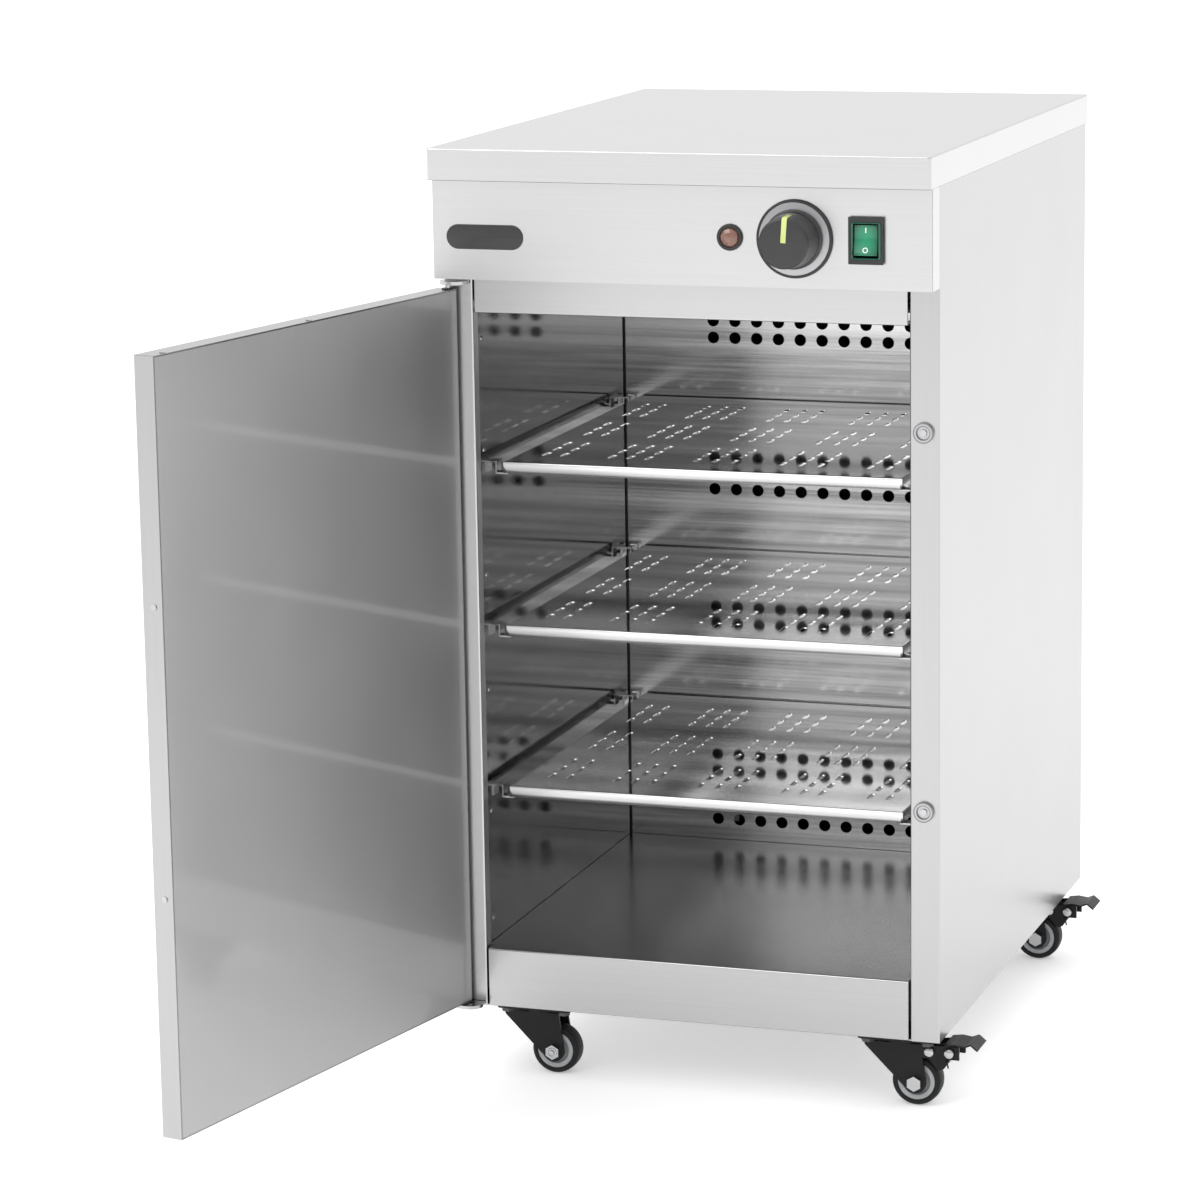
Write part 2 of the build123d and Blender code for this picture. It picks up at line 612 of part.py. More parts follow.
HOOK_SPOTS = (SHELF_FRONT + HOOK_INSET, SHELF_REAR - HOOK_INSET)
HOOK_SEAT = SHELF_LIP + FIT / 2  # below the shelf's top
HOOK_LIP_X = SHELF_HALF - SHELF_SHEET - HOOK_LIP_GAP
with BuildPart() as shelf_hooks:
    for shelf_top in SHELF_TOPS.values():
        for hook_y in HOOK_SPOTS:
            with BuildSketch(Plane.XZ.offset(-hook_y - HOOK_WIDTH / 2)):
                with BuildLine():
                    Polyline(
                        (-CHAMBER_HALF, shelf_top - HOOK_SEAT),
                        (-CHAMBER_HALF, shelf_top),
                        (-CHAMBER_HALF + HOOK_ARM, shelf_top),
                        (-CHAMBER_HALF + HOOK_ARM, shelf_top - HOOK_SEAT),
                        (-HOOK_LIP_X, shelf_top - HOOK_SEAT),
                        (-HOOK_LIP_X, shelf_top - HOOK_SEAT + HOOK_LIP),
                    )
                    offset(amount=HOOK_SHEET, side=Side.RIGHT, kind=Kind.INTERSECTION)
                make_face()
                mirror(about=Plane.YZ)
            extrude(amount=HOOK_WIDTH)
shelf_hooks.part.label = "shelf_hooks"
export_step(shelf_hooks.part, "parts/shelf_hooks.step")

# ============================================================ door
with BuildPart() as door_outer_skin:
    with BuildSketch(DOOR.offset(DOOR_BOTTOM)):
        with Locations(DOOR_MIDDLE):
            Rectangle(DOOR_WIDTH, DOOR_THICKNESS)
    extrude(amount=DOOR_HEIGHT)
    fillet(
        door_outer_skin.edges().filter_by(Axis.Z).sort_by(TOWARDS_INSIDE)[:2], radius=BEND
    )
    offset(amount=-SHEET, openings=door_outer_skin.faces().sort_by(TOWARDS_INSIDE)[-1])
    with BuildSketch(DOOR.offset(DOOR_BOTTOM)):
        Circle(BUSH_DIAMETER / 2 + PIN_CLEARANCE)
    extrude(amount=DOOR_HEIGHT, mode=Mode.SUBTRACT)
door_outer_skin.part.label = "door_outer_skin"
export_step(door_outer_skin.part, "parts/door_outer_skin.step")

INNER_SKIN_WIDTH = DOOR_WIDTH - 2 * (SHEET + FIT)
INNER_SKIN_BOTTOM = DOOR_BOTTOM + SHEET + FIT
INNER_SKIN_HEIGHT = DOOR_HEIGHT - 2 * (SHEET + FIT)
BUSH_POCKET = BUSH_DIAMETER / 2 + FIT
with BuildPart() as door_inner_skin:
    with BuildSketch(DOOR.offset(INNER_SKIN_BOTTOM)):
        with Locations((DOOR_MIDDLE[0], HINGE_INSET - DOOR_RETURN / 2)):
            Rectangle(INNER_SKIN_WIDTH, DOOR_RETURN)
    extrude(amount=INNER_SKIN_HEIGHT)
    offset(amount=-LINER, openings=door_inner_skin.faces().sort_by(TOWARDS_INSIDE)[0])
    for pocket_bottom in (DOOR_BOTTOM, DOOR_TOP - BUSH_LENGTH - FIT):
        with BuildSketch(DOOR.offset(pocket_bottom)):
            Circle(BUSH_POCKET)
        extrude(amount=BUSH_LENGTH + FIT, mode=Mode.SUBTRACT)
door_inner_skin.part.label = "door_inner_skin"
export_step(door_inner_skin.part, "parts/door_inner_skin.step")

CORE_MARGIN = SHEET + LINER + 2 * FIT
with BuildPart() as door_core:
    with BuildSketch(DOOR.offset(DOOR_BOTTOM + CORE_MARGIN)):
        with Locations((DOOR_MIDDLE[0], DOOR_MIDDLE[1] + (SHEET - LINER) / 2)):
            Rectangle(DOOR_WIDTH - 2 * CORE_MARGIN, DOOR_THICKNESS - SHEET - LINER - 2 * FIT)
    extrude(amount=DOOR_HEIGHT - 2 * CORE_MARGIN)
    for pocket_bottom in (DOOR_BOTTOM, DOOR_TOP - PIN_REACH - FIT):
        with BuildSketch(DOOR.offset(pocket_bottom)):
            with Locations((-HINGE_INSET, -BUSH_POCKET)):
                Rectangle(
                    HINGE_INSET + BUSH_POCKET, DOOR_THICKNESS, align=(Align.MIN, Align.MIN)
                )
        extrude(amount=PIN_REACH + FIT, mode=Mode.SUBTRACT)
door_core.part.label = "door_core"
export_step(door_core.part, "parts/door_core.step")

with BuildPart() as door_bushes:
    for lower in (True, False):
        mouth = DOOR_BOTTOM if lower else DOOR_TOP
        inward = BUSH_LENGTH if lower else -BUSH_LENGTH
        with BuildSketch(DOOR.offset(mouth)):
            Circle(BUSH_DIAMETER / 2)
            Circle(PIN_DIAMETER / 2 + PIN_CLEARANCE, mode=Mode.SUBTRACT)
        extrude(amount=inward)
        with BuildSketch(DOOR.offset(mouth)):
            Circle(BUSH_FLANGE_DIAMETER / 2)
            Circle(PIN_DIAMETER / 2 + PIN_CLEARANCE, mode=Mode.SUBTRACT)
        extrude(amount=-BUSH_FLANGE if lower else BUSH_FLANGE)
door_bushes.part.label = "door_bushes"
export_step(door_bushes.part, "parts/door_bushes.step")

EDGE_RIVET_DIAMETER = 5.0
EDGE_RIVET_HEIGHT = 0.9
EDGE_RIVET_DEPTH = 8.4  # from the door's inner face
EDGE_RIVET_INSET = 203.3  # from the door's ends
EDGE_RIVET_HEIGHTS = (DOOR_BOTTOM + EDGE_RIVET_INSET, DOOR_TOP - EDGE_RIVET_INSET)
TOP_RIVET_INSET = 18.0  # from the door's free edge
TOP_RIVETS = (DOOR_MIDDLE[0], DOOR_WIDTH - HINGE_INSET - TOP_RIVET_INSET)  # from the pin
TOP_RIVET_DEPTH = 4.0
with BuildPart() as door_rivets:
    free_edge = DOOR.from_local_coords(
        Vector(DOOR_WIDTH - HINGE_INSET, HINGE_INSET - EDGE_RIVET_DEPTH, 0)
    )
    with BuildSketch(Plane(origin=free_edge, x_dir=DOOR.y_dir, z_dir=DOOR.x_dir)):
        with Locations(*[(0, height) for height in EDGE_RIVET_HEIGHTS]):
            small_round(EDGE_RIVET_DIAMETER)
    extrude(amount=EDGE_RIVET_HEIGHT)
    for face, outward in ((DOOR_TOP, 1), (DOOR_BOTTOM, -1)):
        with BuildSketch(DOOR.offset(face)):
            with Locations(*[(along, HINGE_INSET - TOP_RIVET_DEPTH) for along in TOP_RIVETS]):
                small_round(EDGE_RIVET_DIAMETER)
        extrude(amount=outward * EDGE_RIVET_HEIGHT)
door_rivets.part.label = "door_rivets"
export_step(door_rivets.part, "parts/door_rivets.step")

# ============================================================ hinge brackets
for name, plate_z, pin_way in (("bottom", BRACKET_BOTTOM_Z, 1), ("top", BRACKET_TOP_Z, -1)):
    with BuildPart() as hinge_bracket:
        # Tab in front of the post, with round ends.
        with BuildSketch(Plane.XY.offset(plate_z)):
            with Locations((-BODY_HALF + BRACKET_TAB_LENGTH / 2, PIVOT_Y)):
                SlotOverall(BRACKET_TAB_LENGTH, BRACKET_TAB_WIDTH)
            with Locations((-BODY_HALF, POST_Y - FIT)):
                Rectangle(
                    WIDTH, DEPTH, align=(Align.CENTER, Align.MIN), mode=Mode.SUBTRACT
                )
            # Neck through the post to the plate inside.
            with Locations((BRACKET_LEFT, PIVOT_Y)):
                Rectangle(
                    BRACKET_NECK, POST_Y + BRACKET_DEPTH - PIVOT_Y, align=(Align.MIN, Align.MIN)
                )
        extrude(amount=BRACKET_THICKNESS)
        # Leg along the side panel.
        with BuildSketch(Plane.XY.offset(plate_z)):
            with Locations((BRACKET_LEFT, POST_Y + POST_RETURN)):
                Rectangle(
                    BRACKET_LEG_THICKNESS,
                    BRACKET_DEPTH - POST_RETURN,
                    align=(Align.MIN, Align.MIN),
                )
        extrude(amount=BRACKET_LEG)
        # Pin, riveted into the tab.
        pin_z = plate_z + BRACKET_THICKNESS if pin_way > 0 else plate_z
        with BuildSketch(Plane.XY.offset(pin_z)):
            with Locations((PIVOT_X, PIVOT_Y)):
                Circle(PIN_DIAMETER / 2)
        extrude(amount=pin_way * PIN_REACH)
    hinge_bracket.part.label = f"hinge_bracket_{name}"
    export_step(hinge_bracket.part, f"parts/hinge_bracket_{name}.step")

# ============================================================ catches
with BuildPart() as catch_magnets:
    with BuildSketch(Plane.XZ.offset(-POST_Y)):
        with Locations(*[(CATCH_X, height) for height in CATCH_HEIGHTS]):
            Circle(CATCH_DIAMETER / 2)
            Circle(CATCH_SCREW_DIAMETER / 2 + FIT, mode=Mode.SUBTRACT)
    extrude(amount=CATCH_HEIGHT)
    with BuildSketch(Plane.XZ.offset(-POST_Y + CATCH_HEIGHT)):
        with Locations(*[(CATCH_X, height) for height in CATCH_HEIGHTS]):
            Circle(CATCH_RECESS_DIAMETER / 2)
    extrude(amount=-CATCH_HEIGHT / 2, mode=Mode.SUBTRACT)
catch_magnets.part.label = "catch_magnets"
export_step(catch_magnets.part, "parts/catch_magnets.step")

with BuildPart() as catch_screws:
    with BuildSketch(Plane.XZ.offset(-POST_Y)):
        with Locations(*[(CATCH_X, height) for height in CATCH_HEIGHTS]):
            Circle(CATCH_SCREW_DIAMETER / 2)
    extrude(amount=CATCH_HEIGHT - FIT)
catch_screws.part.label = "catch_screws"
export_step(catch_screws.part, "parts/catch_screws.step")

# ============================================================ controls
with BuildPart() as badge_plate:
    with BuildSketch(Plane.XZ.offset(-FASCIA_Y)):
        with Locations((BADGE_X, BADGE_Z)):
            SlotOverall(BADGE_WIDTH, BADGE_HEIGHT)
    extrude(amount=BADGE_THICKNESS)
badge_plate.part.label = "badge_plate"
export_step(badge_plate.part, "parts/badge_plate.step")

# Turned parts: local x runs outward from the fascia, local y is the radius.
LAMP_PLANE = turned_plane(LAMP_X, FASCIA_Y, CONTROL_Z)
LAMP_AXIS = Axis((LAMP_X, FASCIA_Y, CONTROL_Z), (0, -1, 0))
LENS_SEAT = LAMP_FLANGE / 2
with BuildPart() as lamp_housing:
    with BuildSketch(LAMP_PLANE):
        with BuildLine():
            Polyline(
                (-LAMP_DEPTH, 0),
                (-LAMP_DEPTH, LAMP_BODY_DIAMETER / 2),
                (0, LAMP_BODY_DIAMETER / 2),
                (0, LAMP_FLANGE_DIAMETER / 2),
                (LAMP_FLANGE, LAMP_FLANGE_DIAMETER / 2),
                (LAMP_FLANGE, LENS_DIAMETER / 2 + FIT),
                (LENS_SEAT, LENS_DIAMETER / 2 + FIT),
                (LENS_SEAT, 0),
                close=True,
            )
        make_face()
    revolve(axis=LAMP_AXIS)
lamp_housing.part.label = "lamp_housing"
export_step(lamp_housing.part, "parts/lamp_housing.step")

with BuildPart() as lamp_lens:
    with BuildSketch(Plane.XZ.offset(-FASCIA_Y + LENS_SEAT)):
        with Locations((LAMP_X, CONTROL_Z)):
            RegularPolygon(LENS_DIAMETER / 2, LENS_FACETS)
    extrude(amount=LENS_HEIGHT, taper=LENS_TAPER)
lamp_lens.part.label = "lamp_lens"
export_step(lamp_lens.part, "parts/lamp_lens.step")

KNOB_PLANE = turned_plane(KNOB_X, FASCIA_Y, CONTROL_Z)
KNOB_AXIS = Axis((KNOB_X, FASCIA_Y, CONTROL_Z), (0, -1, 0))
with BuildPart() as knob_bezel:
    with BuildSketch(Plane.XZ.offset(-FASCIA_Y)):
        with Locations((KNOB_X, CONTROL_Z)):
            Circle(BEZEL_DIAMETER / 2)
            Circle(NECK_DIAMETER / 2 + FIT, mode=Mode.SUBTRACT)
    extrude(amount=BEZEL_THICKNESS)
knob_bezel.part.label = "knob_bezel"
export_step(knob_bezel.part, "parts/knob_bezel.step")

knob_start = FASCIA_Y - KNOB_BACK
with BuildPart() as thermostat_knob:
    with BuildSketch(KNOB_PLANE):
        with BuildLine():
            Polyline(
                (knob_start + SPINDLE_SOCKET, 0),
                (knob_start + KNOB_LENGTH, 0),
                (knob_start + KNOB_LENGTH, KNOB_FACE_DIAMETER / 2 - KNOB_EDGE),
                (knob_start + KNOB_LENGTH - KNOB_EDGE, KNOB_FACE_DIAMETER / 2),
                (knob_start + 2 * KNOB_SKIRT, KNOB_BASE_DIAMETER / 2 - KNOB_EDGE),
                (knob_start + KNOB_SKIRT, KNOB_BASE_DIAMETER / 2),
                (knob_start, KNOB_BASE_DIAMETER / 2),
                (knob_start, SPINDLE_DIAMETER / 2 + SPINDLE_FIT),
                (knob_start + SPINDLE_SOCKET, SPINDLE_DIAMETER / 2 + SPINDLE_FIT),
                close=True,
            )
        make_face()
    revolve(axis=KNOB_AXIS)
thermostat_knob.part.label = "thermostat_knob"
export_step(thermostat_knob.part, "parts/thermostat_knob.step")

NECK_BORE = SPINDLE_DIAMETER / 2 + SPINDLE_FIT
with BuildPart() as thermostat_body:
    with BuildSketch(Plane.XZ.offset(-FASCIA_Y - SHEET - FIT)):
        with Locations((KNOB_X, CONTROL_Z)):
            Rectangle(THERMOSTAT_WIDTH, THERMOSTAT_HEIGHT)
    extrude(amount=-THERMOSTAT_DEPTH)
    fillet(thermostat_body.edges().filter_by(Axis.Y), radius=SWITCH_CORNER)
    with BuildSketch(Plane.XZ.offset(-FASCIA_Y - SHEET - FIT)):
        with Locations((KNOB_X, CONTROL_Z)):
            Circle(NECK_DIAMETER / 2)
    extrude(amount=SHEET + FIT + BEZEL_THICKNESS - FIT)
    with BuildSketch(Plane.XZ.offset(-BEZEL_FRONT)):
        with Locations((KNOB_X, CONTROL_Z)):
            Circle(NECK_BORE)
    extrude(amount=-THERMOSTAT_DEPTH / 2 - BEZEL_THICKNESS, mode=Mode.SUBTRACT)
thermostat_body.part.label = "thermostat_body"
export_step(thermostat_body.part, "parts/thermostat_body.step")

with BuildPart() as thermostat_spindle:
    spindle_length = SPINDLE_SOCKET + KNOB_GAP + THERMOSTAT_DEPTH / 2
    with BuildSketch(Plane.XZ.offset(-KNOB_BACK + SPINDLE_SOCKET - FIT)):
        with Locations((KNOB_X, CONTROL_Z)):
            Circle(SPINDLE_DIAMETER / 2)
    extrude(amount=-spindle_length)
thermostat_spindle.part.label = "thermostat_spindle"
export_step(thermostat_spindle.part, "parts/thermostat_spindle.step")

SWITCH_SPOT = (SWITCH_X, CONTROL_Z)
SWITCH_POCKET_HEIGHT = 2 * (ROCKER_REACH + ROCKER_GAP)
with BuildPart() as switch_housing:
    with BuildSketch(Plane.XZ.offset(-FASCIA_Y)):
        with Locations(SWITCH_SPOT):
            RectangleRounded(SWITCH_WIDTH, SWITCH_HEIGHT, SWITCH_CORNER)
    extrude(amount=SWITCH_FRAME)
    chamfer(
        switch_housing.faces().sort_by(Axis.Y)[0].edges(), length=SWITCH_FRAME / 3
    )
    with BuildSketch(Plane.XZ.offset(-FASCIA_Y)):
        with Locations(SWITCH_SPOT):
            Rectangle(SWITCH_BODY_WIDTH, SWITCH_BODY_HEIGHT)
    extrude(amount=-SWITCH_BODY_DEPTH)
    with BuildSketch(Plane.XZ.offset(-FASCIA_Y + SWITCH_FRAME)):
        with Locations(SWITCH_SPOT):
            Rectangle(ROCKER_WIDTH + 2 * ROCKER_GAP, SWITCH_POCKET_HEIGHT)
    extrude(
        amount=-(ROCKER_VALLEY_OUT + ROCKER_REAR_IN + 4 * ROCKER_GAP), mode=Mode.SUBTRACT
    )
    pin_socket = Plane.YZ.offset(SWITCH_X - ROCKER_WIDTH / 2 - 4 * ROCKER_GAP)
    with BuildSketch(pin_socket):
        with Locations((ROCKER_PIVOT_Y, CONTROL_Z)):
            Circle(ROCKER_PIN_DIAMETER / 2 + SPINDLE_FIT)
    extrude(amount=ROCKER_WIDTH + 8 * ROCKER_GAP, mode=Mode.SUBTRACT)
switch_housing.part.label = "switch_housing"
export_step(switch_housing.part, "parts/switch_housing.step")

# The rocker's own plane: x towards its front, y up, tilted with the rocker.
ROCKER_LEAN = radians(ROCKER_TILT)
rocker_left = SWITCH_X - ROCKER_WIDTH / 2
ROCKER_PLANE = Plane(
    origin=(rocker_left, ROCKER_PIVOT_Y, CONTROL_Z),
    x_dir=(0, -cos(ROCKER_LEAN), sin(ROCKER_LEAN)),
    z_dir=(-1, 0, 0),
)
rocker_corner_up = (ROCKER_REACH**2 - ROCKER_CORNER_OUT**2) ** 0.5
with BuildPart() as switch_rocker:
    with BuildSketch(ROCKER_PLANE):
        with BuildLine():
            Polyline(
                (ROCKER_CORNER_OUT, rocker_corner_up),
                (ROCKER_VALLEY_OUT, 0),
                (ROCKER_CORNER_OUT, -rocker_corner_up),
                (0, -ROCKER_REACH + ROCKER_GAP),
                (-ROCKER_REAR_IN, -ROCKER_REACH / 2),
                (-ROCKER_REAR_IN, ROCKER_REACH / 2),
                (0, ROCKER_REACH - ROCKER_GAP),
                close=True,
            )
        make_face()
    extrude(amount=-ROCKER_WIDTH)
    with BuildSketch(ROCKER_PLANE.offset(3 * ROCKER_GAP)):
        Circle(ROCKER_PIN_DIAMETER / 2)
    extrude(amount=-(ROCKER_WIDTH + 6 * ROCKER_GAP))
switch_rocker.part.label = "switch_rocker"
export_step(switch_rocker.part, "parts/switch_rocker.step")

# ============================================================ heater and rear duct
with BuildPart() as heating_element:
    with BuildLine():
        FilletPolyline(
            (-ELEMENT_SPAN / 2, ELEMENT_Y, ELEMENT_Z + ELEMENT_PITCH / 2),
            (ELEMENT_SPAN / 2, ELEMENT_Y, ELEMENT_Z + ELEMENT_PITCH / 2),
            (ELEMENT_SPAN / 2, ELEMENT_Y, ELEMENT_Z - ELEMENT_PITCH / 2),
            (-ELEMENT_SPAN / 2, ELEMENT_Y, ELEMENT_Z - ELEMENT_PITCH / 2),
            radius=ELEMENT_PITCH * 0.45,
        )
    with BuildSketch(Plane.YZ.offset(-ELEMENT_SPAN / 2)):
        with Locations((ELEMENT_Y, ELEMENT_Z + ELEMENT_PITCH / 2)):
            small_round(ELEMENT_DIAMETER)
    sweep()
heating_element.part.label = "heating_element"
export_step(heating_element.part, "parts/heating_element.step")

with BuildPart() as element_brackets:
    duct_face = CHAMBER_BACK + LINER
    for x in (-ELEMENT_BRACKET_X, ELEMENT_BRACKET_X):
        with BuildSketch(Plane.YZ.offset(x)):
            with Locations((duct_face, ELEMENT_Z)):
                Rectangle(
                    ELEMENT_Y + ELEMENT_DIAMETER - duct_face,
                    ELEMENT_BRACKET_HEIGHT,
                    align=(Align.MIN, Align.CENTER),
                )
            with Locations((ELEMENT_Y, ELEMENT_Z)):
                with GridLocations(ELEMENT_PITCH, ELEMENT_PITCH, 1, 2):
                    Circle(ELEMENT_DIAMETER / 2 + FIT, mode=Mode.SUBTRACT)
        extrude(amount=ELEMENT_BRACKET_THICKNESS)
        with BuildSketch(Plane.XZ.offset(-duct_face)):
            with Locations((x, ELEMENT_Z)):
                Rectangle(
                    ELEMENT_BRACKET_WIDTH,
                    ELEMENT_BRACKET_HEIGHT,
                    align=(Align.MIN, Align.CENTER),
                )
        extrude(amount=-ELEMENT_BRACKET_THICKNESS)
element_brackets.part.label = "element_brackets"
export_step(element_brackets.part, "parts/element_brackets.step")

with BuildPart() as terminal_block:
    terminal_x, terminal_y, terminal_z = TERMINAL_SIZE
    with BuildSketch(Plane.XY.offset(BASE_Z + BASE_SHEET)):
        with Locations(TERMINAL_PLACE):
            Rectangle(terminal_x, terminal_y)
    extrude(amount=terminal_z)
    with BuildSketch(Plane.XY.offset(BASE_Z + BASE_SHEET + terminal_z)):
        with Locations(TERMINAL_PLACE):
            with GridLocations(terminal_x / 3, terminal_y, 3, 1):
                Rectangle(terminal_x / 5, terminal_y / 2)
    extrude(amount=-terminal_z / 4, mode=Mode.SUBTRACT)
terminal_block.part.label = "terminal_block"
export_step(terminal_block.part, "parts/terminal_block.step")

with BuildPart() as cable_gland:
    gland_x, gland_z = GLAND_PLACE
    gland_inner = Plane.XZ.offset(-BODY_REAR + SHEET + GLAND_THREAD)
    with BuildSketch(gland_inner):
        with Locations(GLAND_PLACE):
            Circle(GLAND_BODY / 2)
    extrude(amount=-(GLAND_THREAD + SHEET))
    with BuildSketch(Plane.XZ.offset(-BODY_REAR)):
        with Locations(GLAND_PLACE):
            RegularPolygon(GLAND_FLANGE / 2, 6)
    extrude(amount=-GLAND_REACH / 2)
    with BuildSketch(Plane.XZ.offset(-BODY_REAR - GLAND_REACH / 2)):
        with Locations(GLAND_PLACE):
            Circle(GLAND_BODY / 2 + GLAND_NUT_WALL)
    extrude(amount=-GLAND_REACH / 2)
    with BuildSketch(gland_inner):
        with Locations(GLAND_PLACE):
            Circle(GLAND_BORE / 2)
    extrude(amount=-(GLAND_THREAD + SHEET + GLAND_REACH), mode=Mode.SUBTRACT)
cable_gland.part.label = "cable_gland"
export_step(cable_gland.part, "parts/cable_gland.step")

SLAB_X = (CHAMBER_HALF + LINER + FIT, INSIDE_HALF)
SLAB_FRONT = POST_Y + POST_RETURN + FIT
SLAB_BOTTOM = BASE_Z + BASE_FLANGE + FIT
with BuildPart() as cabinet_insulation:
    # Side slabs between the liner and the casing.
    with BuildSketch(Plane.XY.offset(WALL_BOTTOM)):
        for hand in (-1, 1):
            with Locations((hand * sum(SLAB_X) / 2, (SLAB_FRONT + CHAMBER_BACK - FIT) / 2)):
                Rectangle(SLAB_X[1] - SLAB_X[0], CHAMBER_BACK - FIT - SLAB_FRONT)
    extrude(amount=CHAMBER_CEILING - WALL_BOTTOM)
    # Slab above the ceiling and slab under the floor.
    for slab_z, slab_height, front in (
        (CHAMBER_CEILING + LINER + FIT, INSULATION_TOP, WALL_FRONT + INSULATION_TOP_SETBACK),
        (CHAMBER_FLOOR - SHEET - FIT - INSULATION_FLOOR, INSULATION_FLOOR, SLAB_FRONT),
    ):
        with BuildSketch(Plane.XY.offset(slab_z)):
            with Locations((0, (front + CHAMBER_BACK - 2 * SHEET) / 2)):
                Rectangle(
                    2 * (CHAMBER_HALF - 2 * FIT), CHAMBER_BACK - 2 * SHEET - front
                )
        extrude(amount=slab_height)
    # Slab on the rear panel.
    with BuildSketch(Plane.XZ.offset(-BODY_REAR + SHEET + FIT)):
        with Locations((0, (SLAB_BOTTOM + CHAMBER_CEILING + GLAND_PLACE[1]) / 2)):
            Rectangle(
                2 * (BODY_HALF - REAR_FLANGE - FIT),
                CHAMBER_CEILING - SLAB_BOTTOM - GLAND_PLACE[1] + GLAND_FLANGE,
            )
    extrude(amount=INSULATION_REAR)
cabinet_insulation.part.label = "cabinet_insulation"
export_step(cabinet_insulation.part, "parts/cabinet_insulation.step")

# ============================================================ castors
CASTOR_SPOTS = [(x, y) for _, x, y, _ in CASTORS]
RACE_BOTTOM = FORK_TOP + RACE_GAP
KINGPIN_HEAD_TOP = FORK_TOP - FORK_SHEET - KINGPIN_GAP
with BuildPart() as castor_plates:
    with BuildSketch(Plane.XY.offset(PLATE_BOTTOM)):
        with Locations(*CASTOR_SPOTS):
            RectangleRounded(PLATE_X, PLATE_Y, PLATE_CORNER)
        with Locations(*CASTOR_BOLT_SPOTS):
            small_round(BOLT_DIAMETER + 2 * BOLT_CLEARANCE, mode=Mode.SUBTRACT)
    extrude(amount=PLATE_THICKNESS)
    with BuildSketch(Plane.XY.offset(RACE_BOTTOM)):
        with Locations(*CASTOR_SPOTS):
            Circle(RACE_DIAMETER / 2)
    extrude(amount=PLATE_BOTTOM - RACE_BOTTOM)
    # Kingpin with the head that carries the fork.
    with BuildSketch(Plane.XY.offset(KINGPIN_HEAD_TOP)):
        with Locations(*CASTOR_SPOTS):
            Circle(KINGPIN_DIAMETER / 2)
    extrude(amount=RACE_BOTTOM - KINGPIN_HEAD_TOP)
    with BuildSketch(Plane.XY.offset(KINGPIN_HEAD_TOP)):
        with Locations(*CASTOR_SPOTS):
            Circle(KINGPIN_HEAD_DIAMETER / 2)
    extrude(amount=-KINGPIN_HEAD)
castor_plates.part.label = "castor_plates"
export_step(castor_plates.part, "parts/castor_plates.step")

BOLT_TOP = BASE_Z + BASE_SHEET + NUT_HEIGHT
HEX_CORNERS = 2 / 3**0.5  # across the corners over across the flats
with BuildPart() as castor_bolts:
    with BuildSketch(Plane.XY.offset(PLATE_BOTTOM)):
        with Locations(*CASTOR_BOLT_SPOTS):
            RegularPolygon(BOLT_HEX / 2 * HEX_CORNERS, 6)
    extrude(amount=-BOLT_HEAD)
    with BuildSketch(Plane.XY.offset(PLATE_BOTTOM)):
        with Locations(*CASTOR_BOLT_SPOTS):
            small_round(BOLT_DIAMETER)
    extrude(amount=BASE_Z + BASE_SHEET - PLATE_BOTTOM)
    with BuildSketch(Plane.XY.offset(BOLT_TOP - NUT_HEIGHT)):
        with Locations(*CASTOR_BOLT_SPOTS):
            RegularPolygon(BOLT_HEX / 2 * HEX_CORNERS, 6)
    extrude(amount=NUT_HEIGHT)
castor_bolts.part.label = "castor_bolts"
export_step(castor_bolts.part, "parts/castor_bolts.step")

